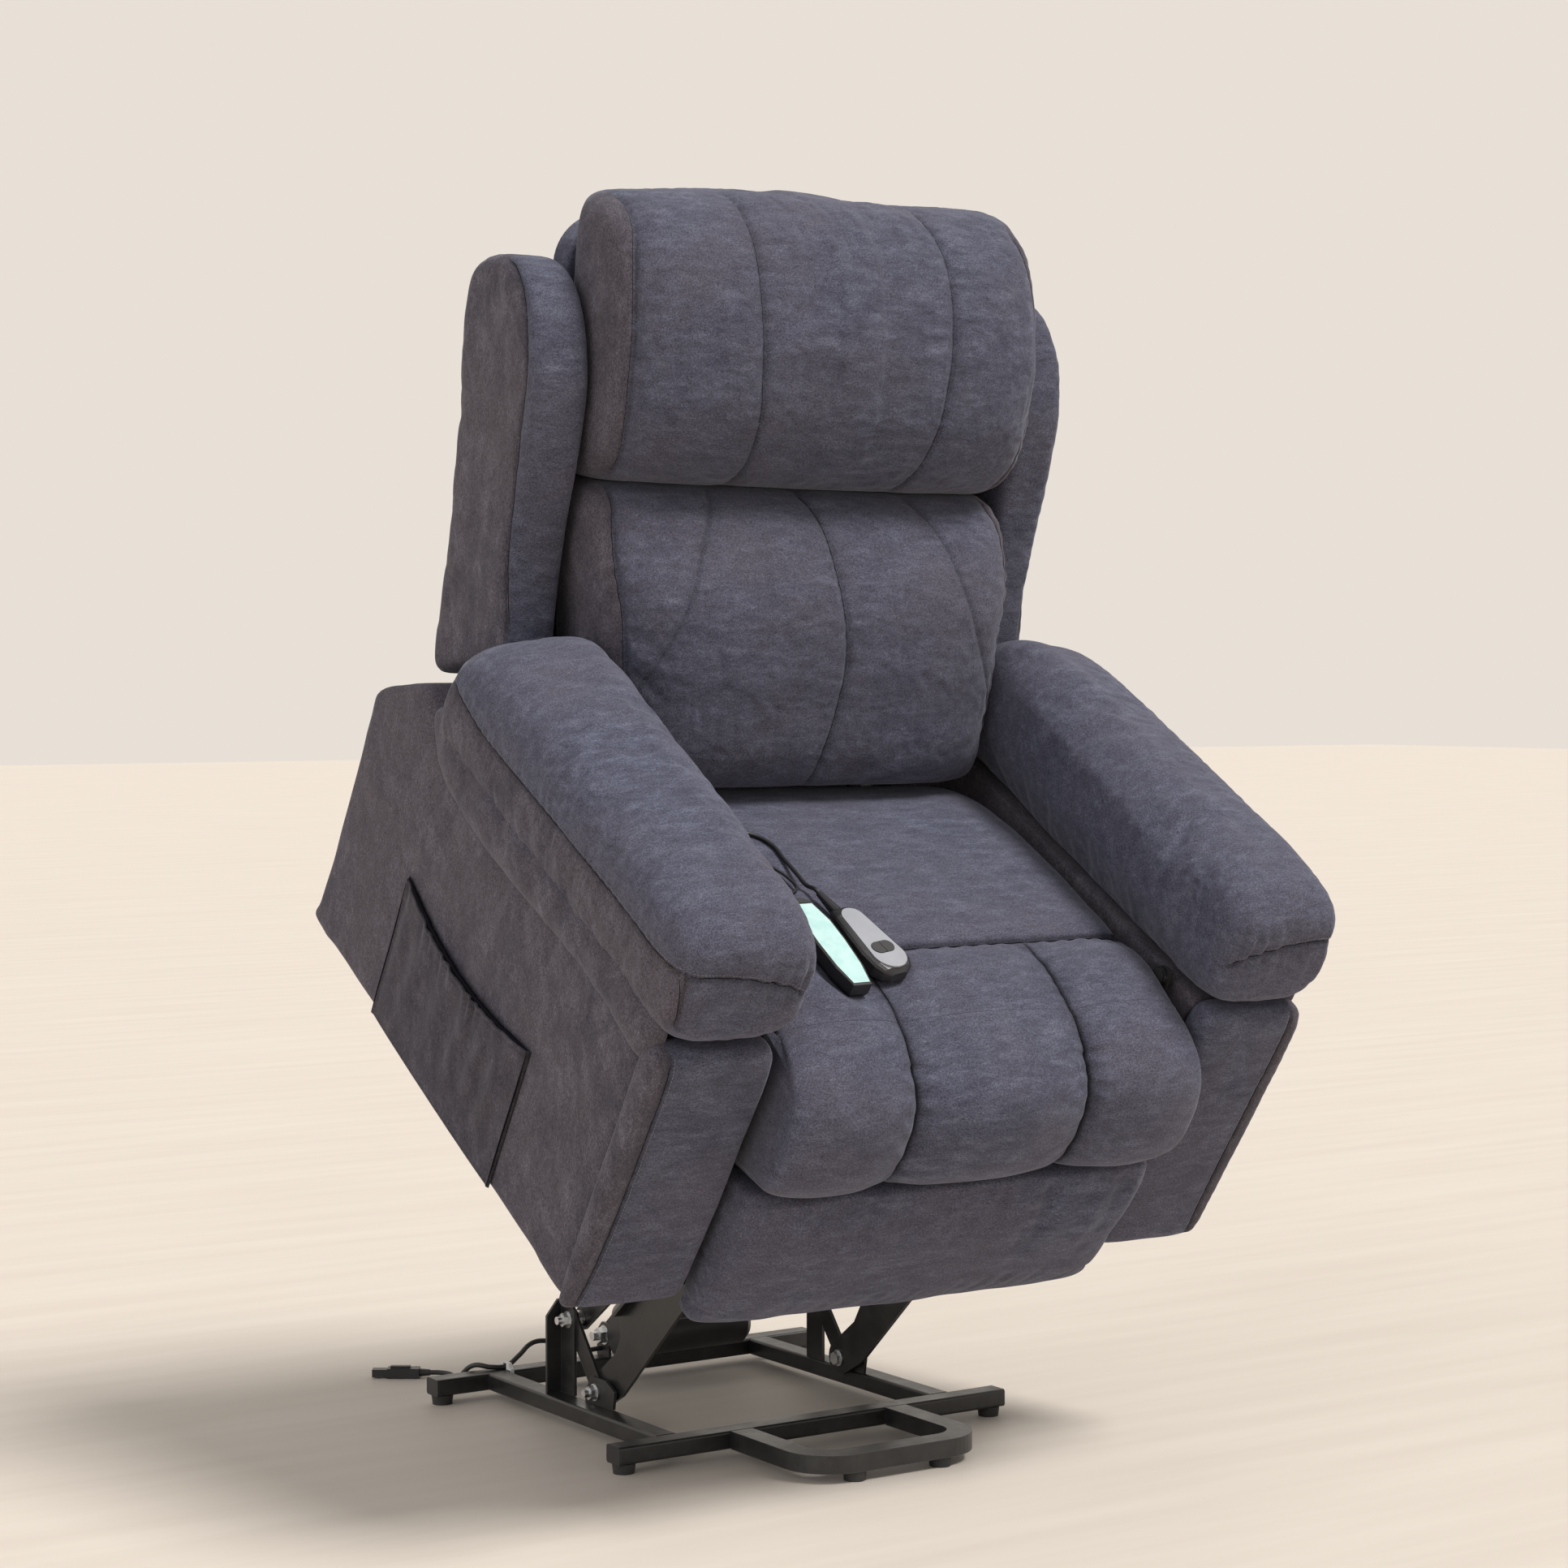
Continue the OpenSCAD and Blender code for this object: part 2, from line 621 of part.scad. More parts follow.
module lift_brackets() {
    color(black) in_chair() for (side = [-1, 1]) on_side(side)
        chair_plate(bracket_x, link_t) difference() {
            polygon([
                [lift_up[0] - 34, seat_low_frame + frame_tube - 6],
                [frame_front_f - 25, seat_low_frame + frame_tube - 6], [frame_front_f - 25, seat_low_frame],
                [lift_low[0] + 18, seat_low_frame], [lift_low[0] + 22, lift_low[1]],
                [lift_low[0] + 14, lift_low[1] - 16], [lift_low[0] - 4, lift_low[1] - 21],
                [lift_up[0] - 8, lift_up[1] - 21], [lift_up[0] - 24, lift_up[1]]]);
            translate(lift_low) circle(r = pin_r);
            translate(lift_up) circle(r = pin_r + 1);
        }
}
// pins that the seat body carries: lift, actuator rod, back hinge and footrest arms
module seat_pins() {
    color(zinc) in_chair() {
        x_rod(actuator_x - eye_half - side_gap - 8, -rod_pivot_f, rod_pivot_h,
            2 * (eye_half + side_gap + 8), rod_pin_r);
        for (s = [-1, 1]) x_rod(actuator_x + s * (eye_half + side_gap + 5) - (s < 0 ? 4 : 0),
            -rod_pivot_f, rod_pivot_h, 4, rod_pin_r + 4);
        for (side = [-1, 1]) on_side(side) {
            x_rod(bracket_x, -lift_low[0], lift_low[1], 2 * link_t + 2 * side_gap, pin_r);
            x_rod(low_link_x + link_t + side_gap, -lift_low[0], lift_low[1], 8, 2 * pin_r);
            x_rod(up_link_x - side_gap - 1, -lift_up[0], lift_up[1],
                bracket_x + link_t - up_link_x + side_gap + 1,
                pin_r + 1);
            x_rod(up_link_x - side_gap - 6, -lift_up[0], lift_up[1], 6, open_r + 5);
            x_rod(hinge_in, -hinge_f, hinge_h, stile_x + side_gap + 4 - hinge_in, hinge_pin_r);
            x_rod(hinge_in - 4, -hinge_f, hinge_h, 4, hinge_pin_r + 5);
            x_rod(arm_plate_x - side_gap, -arm_pin_f, arm_pin_h,
                arm_in + 4 - arm_plate_x + side_gap, arm_pin_r);
            x_rod(arm_plate_x - side_gap - 3, -arm_pin_f, arm_pin_h, 3, arm_pin_r + 4);
            x_rod(arm_plate_x + arm_plate_t + side_gap, -arm_pin_f, arm_pin_h,
                arm_in - arm_plate_x - arm_plate_t - side_gap, arm_pin_r + 4);
        }
    }
}
stile_w = 20;
hinge_in = stile_x - stile_w - side_gap;

module seat_box() {
    board = 20;
    color(wood) in_chair() translate([-box_half, -box_front_f, seat_low_frame + frame_tube]) difference() {
        cube([2 * box_half, box_front_f - box_rear_f, box_h]);
        translate([board, board, -1])
            cube([2 * (box_half - board), box_front_f - box_rear_f - 2 * board, box_h + 2]);
    }
}
box_half = seat_w / 2 - 6;
box_h = 90;
web_t = 1.6;
module webbing() {
    span = box_front_f - box_rear_f;
    top = seat_low_frame + frame_tube + box_h;
    color([0.2, 0.2, 0.22]) in_chair() {
        for (i = [0:4]) translate([-box_half, -box_rear_f - 45 - i * (span - 90) / 4 - 25, top])
            cube([2 * box_half, 50, web_t]);
    }
}

// section across the chair at f, for a loft that runs from the rear to the front
function across(x, f, wide, low, high, n) =
    ring([x, -f, (low + high) / 2], [0, 0, 1], [1, 0, 0], (high - low) / 2, wide / 2, n);
// level section at h, for a loft that runs upwards
function level(x, h, wide, rear, front, n) =
    ring([x, -(rear + front) / 2, h], [0, 1, 0], [1, 0, 0], (front - rear) / 2, wide / 2, n);

module arm_box(side) {
    color(fabric) in_chair() on_side(side) difference() {
        chair_plate(arm_in, arm_box_w) arm_outline(0);
        chair_plate(arm_in + box_wall, arm_box_w - 2 * box_wall) difference() {
            arm_outline(box_wall);
            square([1, 1]);
        }
        x_rod(arm_in - 1, -arm_pin_f, arm_pin_h, 6, arm_pin_r);
    }
}
module arm_outline(d) {
    polygon([[d, d > 0 ? -1 : 0], [arm_box_l - d, d > 0 ? -1 : 0], [arm_box_l - d, arm_box_h - d],
        [arm_shoulder_f + 54, arm_box_h - d], [arm_shoulder_f, arm_box_h + 44 - 1.6 * d],
        [d, arm_rear_h - 0.5 * d]]);
}
arm_shoulder_f = 116;

module front_panel(side) {
    x = (arm_in + arm_x + 13) / 2;
    w = arm_x + 13 - arm_in;
    rear = arm_box_l + side_gap;
    function face(h) = rear + front_panel_low_t
        + (front_panel_high_t - front_panel_low_t) * h / arm_box_h;
    color(fabric) in_chair() on_side(side) loft([
        level(x, 4, w - 12, rear, face(4) - 6, 8), level(x, 10, w, rear, face(10), 8),
        level(x, 120, w, rear, face(120) + 2, 8), level(x, 240, w, rear, face(240) + 2, 8),
        level(x, arm_box_h - 8, w, rear, face(arm_box_h - 8), 8),
        level(x, arm_box_h, w - 10, rear, face(arm_box_h) - 6, 8)]);
}
module arm_pad(side) {
    x = arm_x + arm_pad_proud - arm_pad_w / 2;
    low = arm_box_h + side_gap;
    w = arm_pad_w;
    top = arm_pad_top_h;
    nose = arm_pad_front_f;
    color(fabric) in_chair() on_side(side) loft([
        across(x, arm_shoulder_f + 56, w - 30, low + 2, top - 62, 3.2),
        across(x, arm_shoulder_f + 64, w - 8, low, top - 40, 3.2),
        across(x, arm_shoulder_f + 95, w, low, top - 22, 3.2),
        across(x, 300, w, low, top - 5, 3.2),
        across(x, 450, w, low, top, 3.2),
        across(x, 620, w, low, top, 3.2),
        across(x, nose - 40, w, low, top - 3, 3.2),
        across(x, nose - 14, w - 4, low, top - 12, 3.2),
        across(x, nose - 3, w - 14, low + 3, top - 24, 3.4),
        across(x, nose, w - 30, low + 10, top - 36, 3.4)]);
}
// patch pocket on the sitter's right, open at the top
pocket_rear_f = 195;
pocket_front_f = 538;
pocket_top_h = 185;
pocket_deep = 14;
module pocket_plan(d) {
    out = arm_x + pocket_deep - d;
    polygon([[arm_x + (d > 0 ? -1 : 0), -pocket_rear_f - d], [arm_x + 5 - d / 2, -pocket_rear_f - 6 - d],
        [out - 1, -pocket_rear_f - 22], [out, -pocket_rear_f - 40],
        [out, -pocket_front_f + 40], [out - 1, -pocket_front_f + 22],
        [arm_x + 5 - d / 2, -pocket_front_f + 6 + d], [arm_x + (d > 0 ? -1 : 0), -pocket_front_f + d]]);
}
module side_pocket() {
    skin = 3;
    color(fabric) in_chair() mirror([1, 0, 0]) difference() {
        linear_extrude(pocket_top_h) pocket_plan(0);
        translate([0, 0, skin]) linear_extrude(pocket_top_h) pocket_plan(skin);
    }
}

function seat_top(f) = seat_top_h - 2 - 0.1 * (f - 600);
module seat_cushion() {
    w = seat_w;
    low = seat_low_h;
    board = board_f - 2.5;
    lip = pad_top_h + 3;
    color(fabric) in_chair() loft([
        across(0, 238, w - 30, low + 6, seat_top_h - 34, 6),
        across(0, 250, w - 6, low, seat_top_h - 25, 6),
        across(0, 280, w, low, seat_top_h - 14, 6),
        across(0, 310, w, low, seat_top_h - 8, 6),
        across(0, 346, w, low, seat_top_h - 5, 6),
        across(0, 400, w, low, seat_top_h - 2, 6),
        across(0, 500, w, low, seat_top_h, 6),
        across(0, 600, w, low, seat_top(600), 6),
        across(0, board - 8, w, low, seat_top(board - 8), 6),
        across(0, board, w - 2, low + 8, seat_top(board), 6),
        across(0, board + 1, w - 2, lip, seat_top(board + 1), 4),
        across(0, seat_nose_f - 8, w - 4, lip, seat_top(seat_nose_f - 8), 4),
        across(0, seat_nose_f, w - 16, lip + 3, seat_top(seat_nose_f) - 4, 4)]);
}
module rear_panel() {
    color(fabric) in_chair() translate([side_gap - arm_in, -12, 75]) cube([2 * (arm_in - side_gap), 12, 187]);
}

// ---- back ----

function back_level(u, wide, rear, front, n) = level(0, u, wide, rear, front, n);
module back_frame() {
    color(wood) in_back() difference() {
        union() {
            for (side = [-1, 1]) on_side(side)
                translate([stile_x - stile_w, -back_t, hinge_u - 14]) cube([stile_w, back_t - 20, 714]);
            for (u = [hinge_u + 30, 560, 870])
                translate([stile_w - stile_x, -back_t, u]) cube([2 * (stile_x - stile_w), back_t - 20, 20]);
        }
        x_rod(-stile_x - 1, -hinge_v, hinge_u, 2 * stile_x + 2, hinge_pin_r + run_fit);
    }
}
wing_in = arm_in + wing_offset;
head_w = 2 * (wing_in - head_side_gap);
module back_shell() {
    color(fabric) in_back() translate([-wing_in + side_gap, -20, 330])
        cube([2 * (wing_in - side_gap), 20, head_top_u - 366]);
}
module lumbar_cushion() {
    rear = back_t + side_gap;
    wide = 2 * (wing_in - side_gap);
    color(fabric) in_back() loft([
        back_level(245, seat_w - 16, rear + 6, 242, 5), back_level(256, seat_w, rear, 254, 5),
        back_level(300, seat_w, rear, 280, 4.5), back_level(350, seat_w, rear, 296, 4.5),
        back_level(401, seat_w, rear, 304, 4.5), back_level(446, seat_w, rear, 303, 4.5),
        back_level(452, wide, rear, 302, 4.5), back_level(500, wide, rear, 292, 4.5),
        back_level(550, wide, rear, 264, 4.5),
        back_level(back_seam_u - 14, wide - 4, rear, 232, 4.5),
        back_level(back_seam_u, wide - 20, rear + 6, 200, 4.5)]);
}
module head_cushion() {
    rear = back_t + side_gap;
    top = head_top_u;
    color(fabric) in_back() loft([
        back_level(back_seam_u + side_gap, head_w - 20, rear + 6, 202, 4.5),
        back_level(back_seam_u + 15, head_w, rear, 236, 4.5),
        back_level(back_seam_u + 45, head_w + 2, rear, 268, 4.5),
        back_level(700, head_w + 4, rear, 292, 4.5),
        back_level(790, head_w + 2, rear, 290, 4.5),
        back_level(850, head_w, rear, 272, 4.5),
        back_level(top - 48, head_w - 8, rear, 246, 4.5),
        back_level(top - 18, head_w - 26, rear, 206, 4.5),
        back_level(top, head_w - 70, rear + 8, 160, 4.5)]);
}
// side outline of a wing as [v, u]
function wing_side() = let (top = wing_top_u) [
    [0, 362], [0, 480], [0, 620], [0, top - 60], [10, top - 34], [40, top - 12], [81, top],
    [108, top - 2], [130, top - 18], [158, top - 52], [178, top - 96], [181, top - 160], [178, 590],
    [200, 515], [232, 445], [246, 418], [236, 410], [180, 391], [120, 376], [60, 366]];
module wing(side) {
    p = wing_side();
    mid = [100, 600];
    function slice(x, k) = [for (q = p) let (w = mid + (q - mid) * k) [x, -w[0], w[1]]];
    far = wing_in + wing_t;
    color(fabric) in_back() on_side(side) loft([
        slice(far, 0.9), slice(far - 4, 0.95), slice(far - 14, 0.99), slice(far - 26, 1),
        slice(wing_in + 10, 1), slice(wing_in, 0.97)]);
}

// ---- footrest ----

arm_swing_l = norm([board_pin_f - arm_pin_f, board_pin_h - arm_pin_h]);
sync_f = 20;     // cross tube that ties the two arms, ahead of their pivots
sync_h = 21.5;   // and below them
module footrest_arms() {
    turn = atan2(board_pin_h - arm_pin_h, board_pin_f - arm_pin_f);
    tail = norm([sync_f, sync_h]);
    color(black) in_chair() {
        for (side = [-1, 1]) on_side(side) chair_plate(arm_plate_x, arm_plate_t) difference() {
            union() {
                translate([arm_pin_f, arm_pin_h]) {
                    circle(r = 13);
                    rotate(turn) translate([0, -9]) square([arm_swing_l, 18]);
                    rotate(atan2(-sync_h, sync_f)) {
                        translate([0, -10]) square([tail, 20]);
                        translate([tail, 0]) circle(r = 10);
                    }
                }
                translate([board_pin_f, board_pin_h]) circle(r = 11);
            }
            translate([arm_pin_f, arm_pin_h]) circle(r = arm_pin_r + run_fit);
            translate([board_pin_f, board_pin_h]) circle(r = arm_pin_r + run_fit);
        }
        difference() {
            x_rod(-arm_plate_x, -arm_pin_f - sync_f, arm_pin_h - sync_h, 2 * arm_plate_x, 7);
            x_rod(-arm_plate_x - 1, -arm_pin_f - sync_f, arm_pin_h - sync_h, 2 * arm_plate_x + 2, 5.5);
        }
    }
}
board_half = footrest_w / 2 - 1;
module footrest_board() {
    brk_x = arm_plate_x + arm_plate_t + 2 * side_gap;
    brk_t = 4;
    color(wood) in_chair() {
        translate([-board_half, -board_f - board_t, -footrest_low + 15])
            cube([2 * board_half, board_t, pad_top_h - 4 + footrest_low - 15]);
        for (side = [-1, 1]) on_side(side) {
            chair_plate(brk_x, brk_t) {
                translate([board_pin_f, board_pin_h]) circle(r = 11);
                translate([board_pin_f, board_pin_h - 11]) square([board_f - board_pin_f, 22]);
                translate([board_pin_f + 4, board_pin_h - 60]) square([board_f - board_pin_f - 4, 60]);
            }
            x_rod(arm_plate_x - side_gap, -board_pin_f, board_pin_h,
                brk_x - arm_plate_x + side_gap, arm_pin_r);
            x_rod(arm_plate_x - side_gap - 3, -board_pin_f, board_pin_h, 3, arm_pin_r + 4);
        }
    }
}
// level section whose front swells into upright channels between its seams
function swelling(x, half) = let (a = abs(x), t = a < channel_seam_x
    ? (x + channel_seam_x) / (2 * channel_seam_x) : (a - channel_seam_x) / (half - channel_seam_x))
    pow(abs(sin(180 * t)), 0.5);
function channel_xs(half) = let (m = channel_seam_x, k = 6) concat(
    [for (i = [0:k - 1]) half + (m - half) * i / k],
    [for (i = [0:2 * k - 1]) m - m * i / k],
    [for (i = [0:k]) -m + (m - half) * i / k]);
function channel_level(h, wide, rear, front, deep) = concat(
    [for (x = channel_xs(wide / 2)) [x, -front + deep * (1 - swelling(x, wide / 2)), h]],
    [[-wide / 2, -rear, h], [wide / 2, -rear, h]]);
module channel_pad() {
    top = pad_top_h;
    seam = footrest_seam_h;
    w = footrest_w;
    rear = board_f + board_t + side_gap;
    behind_nose = seat_nose_f + 3;
    color(fabric) in_chair() loft([
        channel_level(seam, w - 8, rear, 796, 6), channel_level(seam + 12, w, rear, 812, 14),
        channel_level(200, w, rear, 823, 18), channel_level(240, w - 4, rear, 829, 18),
        channel_level(280, w - 10, rear, 828, 18), channel_level(310, w - 18, rear, 817, 18),
        channel_level(330, w - 24, rear, 800, 15), channel_level(top, w - 32, rear, 776, 10),
        channel_level(top + 1, w - 32, behind_nose, 774, 10),
        channel_level(top + 8, w - 36, behind_nose + 1, 756, 6)]);
}
module foot_panel() {
    low = -footrest_low;
    rear = board_f + board_t + side_gap;
    seam = footrest_seam_h - side_gap;
    w = footrest_w;
    color(fabric) in_chair() loft([
        level(0, low, w - 26, rear, 762, 8), level(0, low + 8, w - 14, rear, 776, 8),
        level(0, 40, w - 8, rear, 794, 8), level(0, 110, w - 2, rear, 808, 8),
        level(0, seam - 8, w, rear, 810, 8), level(0, seam, w - 6, rear, 796, 8)]);
}

// ---- handsets, lying on the seat cushion with their cord ends to the rear ----

seat_fall = atan(0.1);
module on_seat(x, f, turn) {
    in_chair() translate([x, -f, seat_top(f) + 0.15]) rotate([seat_fall, 0, 0])
        rotate([0, 0, turn]) children();
}
module egg(rows, n) {
    loft([for (r = rows)
        ring([0, r[0], (r[2] + r[3]) / 2], [0, 0, 1], [1, 0, 0], (r[3] - r[2]) / 2, r[1] / 2, n)]);
}
relief_l = 34;
plate_drop = 2;
rocker_y = -20;
rocker_x = 6.5;
rocker_r = 9;
module rocker_hole() {
    for (s = [-1, 1]) translate([s * rocker_x, rocker_y]) circle(r = rocker_r);
    translate([-rocker_x, rocker_y - rocker_r]) square([2 * rocker_x, 2 * rocker_r]);
}
module face_plan(d) {
    hull() {
        translate([0, handset_l / 2 - 24]) circle(r = 15 - d, $fn = 32);
        translate([0, 26 - handset_l / 2]) circle(r = handset_w / 2 - 7 - d, $fn = 32);
    }
}
module at_lift_handset() on_seat(-107.7, 618.5, 10.8) children();
module handset_shell() {
    l = handset_l / 2;
    w = handset_w;
    t = handset_t;
    color(plastic) at_lift_handset() {
        difference() {
            egg([[l, w * 0.36, 4, t - 8], [l - 5, w * 0.56, 1, t - 3], [l - 16, w * 0.7, 0, t - 0.5],
                [10, w * 0.88, 0, t], [-18, w, 0, t], [16 - l, w * 0.96, 0, t], [6 - l, w * 0.76, 1, t - 2],
                [-l, w * 0.4, 5, t - 7]], 3.6);
            translate([0, 0, t - plate_drop]) linear_extrude(plate_drop + 1) face_plan(0);
            translate([0, 0, t - 7]) linear_extrude(8) rocker_hole();
        }
        translate([0, l - 6, t / 2 - 2]) rotate([-90, 0, 0])
            cylinder(d1 = 15, d2 = handset_cord_d + 2.4, h = relief_l + 6);
    }
}
module handset_face() {
    color([0.62, 0.64, 0.68]) at_lift_handset() translate([0, 0, handset_t - plate_drop])
        linear_extrude(plate_drop) difference() {
            face_plan(0.15);
            rocker_hole();
        }
}
module button(side) {
    fit = 0.3;
    color(plastic) at_lift_handset() translate([0, 0, handset_t - 7 + button_travel + fit])
        linear_extrude(7 - fit) intersection() {
            union() {
                translate([side * rocker_x, rocker_y]) circle(r = rocker_r - fit);
                translate([-rocker_x, rocker_y - rocker_r + fit])
                    square([2 * rocker_x, 2 * (rocker_r - fit)]);
            }
            translate([side > 0 ? 0.4 : -handset_w - 0.4, -handset_l]) square([handset_w, 2 * handset_l]);
        }
}
massage_l = 138;
massage_w = 42;
massage_t = 20;
module at_massage_handset() on_seat(-160.7, 622.5, 2) children();
module massage_plan(d) {
    l = massage_l / 2 - d;
    w = massage_w / 2 - d;
    polygon([[-w * 0.55, l], [w * 0.55, l], [w * 0.95, l - 30], [w, 4], [w * 0.9, 30 - l],
        [w * 0.6, -l], [-w * 0.6, -l], [-w * 0.9, 30 - l], [-w, 4], [-w * 0.95, l - 30]]);
}
module massage_handset() {
    t = massage_t;
    color(plastic) at_massage_handset() difference() {
        union() {
            hull() {
                translate([0, 0, 5]) linear_extrude(t - 6) massage_plan(0);
                linear_extrude(t) massage_plan(2);
            }
            translate([0, massage_l / 2 - 4, 0]) cylinder(r = 16, h = t - 4);
        }
        translate([0, 0, t - 1.2]) linear_extrude(2) massage_plan(3);
    }
}
module massage_face() {
    color([0.66, 0.92, 0.86]) at_massage_handset() translate([0, 0, massage_t - 1.2])
        linear_extrude(1.2) massage_plan(3.1);
}

// ---- cords: their routes are chosen points ----

power_route = [[-36.5, 441, 43], [-60, 441, 43], [-80, 438, 48], [-101, 437, 56], [-122, 437, 63],
    [-143, 437, 62], [-162, 437, 48], [-180, 437, 37.2], [-200, 441, 37.2], [-218, 455, 39],
    [-228, 470, 25], [-233, 486, 9], [-230, 508, 3.6], [-215, 530, 3.6], [-198, 548, 3.7],
    [-194, 562, 5], [-203, 573, 6.6], [-215, 581, 7]];
// in the seat body: x, -f, h
handset_route = [[-124.8, -530.3, 391.5], [-126, -524.3, 392.1], [-126.2, -508.5, 386.5],
    [-122.7, -480.5, 383], [-118.7, -444.5, 379], [-117.7, -408.5, 377], [-130, -388, 375.6], [-160, -380, 375.6], [-221, -379, 374],
    [-252, -379, 370], [-274, -379, 362], [-283, -379, 340], [-285, -379, 290], [-286, -379, 225],
    [-279, -379, 205], [-270.4, -379, 205]];
massage_route = [[-163.7, -537.1, 387.7], [-153.7, -520.5, 384.5], [-137.7, -506.5, 382],
    [-134.7, -485.5, 380], [-142.7, -460.5, 379], [-160.7, -431.5, 378], [-215, -416, 376], [-252, -414, 371], [-275, -414, 362],
    [-283, -414, 335], [-284, -414, 215], [-278, -414, 205], [-270.4, -414, 205]];
module power_cord() {
    color(plastic) cord(smooth(power_route, 2), power_cord_d);
}
module handset_cord() {
    color(plastic) in_chair() cord(smooth(handset_route, 2), handset_cord_d);
}
module massage_cord() {
    color(plastic) in_chair() cord(smooth(massage_route, 2), massage_cord_d);
}
module cable_tie() {
    x = -180;
    d = power_cord_d + 1.4;
    color([0.9, 0.9, 0.88]) translate([x - 2.4, rail_spacing, 0]) difference() {
        translate([0, -rail_w / 2 - 1.2, rail_low - 1.2]) cube([4.8, rail_w + 2.4, rail_h + d + 2.4]);
        translate([-1, -rail_w / 2, rail_low]) cube([7, rail_w, rail_h]);
        translate([-1, -d / 2, rail_low]) cube([7, d, rail_h + d]);
        for (s = [-1, 1]) translate([-1, s * (rail_w / 2 + 6), rail_top + d + 4]) rotate([0, 90, 0])
            cylinder(r = 11, h = 7);
    }
}
plug_end = power_route[len(power_route) - 1];
// two-pin low-voltage connector with a latch, on the floor
module power_connector() {
    l = 76;
    color(plastic) translate(plug_end) rotate([0, 0, 146.1]) {
        rotate([0, 90, 0]) cylinder(d1 = power_cord_d + 1.6, d2 = 11, h = 16);
        translate([14, -9, 0.3 - plug_end[2]]) cube([l - 34, 18, 13]);
        translate([l - 22, -7, 1.8 - plug_end[2]]) cube([22, 14, 10]);
        translate([26, -4, 12 - plug_end[2]]) cube([26, 8, 4]);
    }
}

translate([0, -origin_y, 0]) {
    front_rail();
    rear_rail();
    side_rail(1);  // side_rail_left
    side_rail(-1);  // side_rail_right
    front_loop();
    rail_plugs();
    floor_feet();
    post(1);  // post_left
    post(-1);  // post_right
    pivot_lugs();
    pivot_braces();
    upper_base_bolts();
    lower_base_bolts();
    actuator_bracket();
    actuator_bolt();
    power_cord();
    cable_tie();
    power_connector();
    lower_link(1);  // lower_link_left
    lower_link(-1);  // lower_link_right
    torque_tube();
    upper_link(1);  // upper_link_left
    upper_link(-1);  // upper_link_right
    gear_housing();
    motor();
    outer_tube();
    lift_rod();
    seat_frame();
    lift_brackets();
    seat_pins();
    seat_box();
    webbing();
    seat_cushion();
    rear_panel();
    arm_box(1);  // arm_box_left
    arm_box(-1);  // arm_box_right
    front_panel(1);  // front_panel_left
    front_panel(-1);  // front_panel_right
    arm_pad(1);  // arm_pad_left
    arm_pad(-1);  // arm_pad_right
    side_pocket();
    handset_shell();
    handset_face();
    button(1);  // button_up
    button(-1);  // button_down
    massage_handset();
    massage_face();
    handset_cord();
    massage_cord();
    back_frame();
    back_shell();
    lumbar_cushion();
    head_cushion();
    wing(1);  // wing_left
    wing(-1);  // wing_right
    footrest_arms();
    footrest_board();
    channel_pad();
    foot_panel();
}
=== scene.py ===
import math
import bpy
import numpy as np
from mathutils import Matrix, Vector
from mathutils.bvhtree import BVHTree


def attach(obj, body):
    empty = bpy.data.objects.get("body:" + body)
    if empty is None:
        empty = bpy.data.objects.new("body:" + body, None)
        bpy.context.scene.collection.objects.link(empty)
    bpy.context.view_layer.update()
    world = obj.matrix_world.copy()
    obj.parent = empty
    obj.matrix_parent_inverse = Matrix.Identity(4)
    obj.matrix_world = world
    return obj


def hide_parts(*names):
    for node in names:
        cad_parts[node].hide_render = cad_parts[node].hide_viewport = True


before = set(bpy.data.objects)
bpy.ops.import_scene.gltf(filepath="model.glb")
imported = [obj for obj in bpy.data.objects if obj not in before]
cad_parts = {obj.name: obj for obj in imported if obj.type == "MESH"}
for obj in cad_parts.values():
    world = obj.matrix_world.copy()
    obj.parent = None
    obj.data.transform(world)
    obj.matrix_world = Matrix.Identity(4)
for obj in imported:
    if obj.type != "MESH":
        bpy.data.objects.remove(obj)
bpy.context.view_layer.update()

scene = bpy.context.scene
scene.view_settings.view_transform = "Standard"

# ---- frames
# Lengths in this script are millimetres until a mesh or curve is written.
# A place in the seat body is x, f (rear to front) and h (up); one in the back
# is x, u (up along it) and v (forward).  Meshes are made in the tilted frame,
# where they are (x, -f, h) or (x, -v, u), and turned to the raised pose last.

MM = 0.001
TILT, LEAN = math.radians(31.5), math.radians(20.9)
BASE_SHIFT = 3.67                                       # of the base, towards the front
CORNER = np.array([0.0, 462 - BASE_SHIFT, 623.0])       # rear bottom edge of the seat body
BACK_FOOT = np.array([0.0, -136.8, 52.3])               # origin of the back in the seat body
SIDES = ((1, "left"), (-1, "right"))


def turn_x(a):
    c, s = math.cos(a), math.sin(a)
    return np.array([[1, 0, 0], [0, c, -s], [0, s, c]])


def in_chair(p):
    return np.asarray(p, float) @ turn_x(TILT).T + CORNER


def in_back(p):
    return in_chair(np.asarray(p, float) @ turn_x(-LEAN).T + BACK_FOOT)


def cad(node):
    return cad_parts[node]


def tuned(thing, **values):
    for k, v in values.items():
        setattr(thing, k, v)
    return thing


def linked(name, data, **values):
    o = tuned(bpy.data.objects.new(name, data), **values)
    scene.collection.objects.link(o)
    return o


# ---- camera

scene.camera = linked(
    "camera", tuned(bpy.data.cameras.new("camera"), sensor_width=36, lens=74.22),
    location=(-2.17851, -3.20451, 0.92101), rotation_euler=(math.radians(90 - 1.86252), 0, math.radians(-33.72398)))

# ---- node materials


def dial(node, **values):
    for k, v in values.items():
        node.inputs[k.replace("_", " ")].default_value = v


def add(tree, kind, **values):
    n = tree.nodes.new(kind)
    for k, v in values.items():
        if hasattr(n, k):
            setattr(n, k, v)
        else:
            dial(n, **{k: v})
    return n


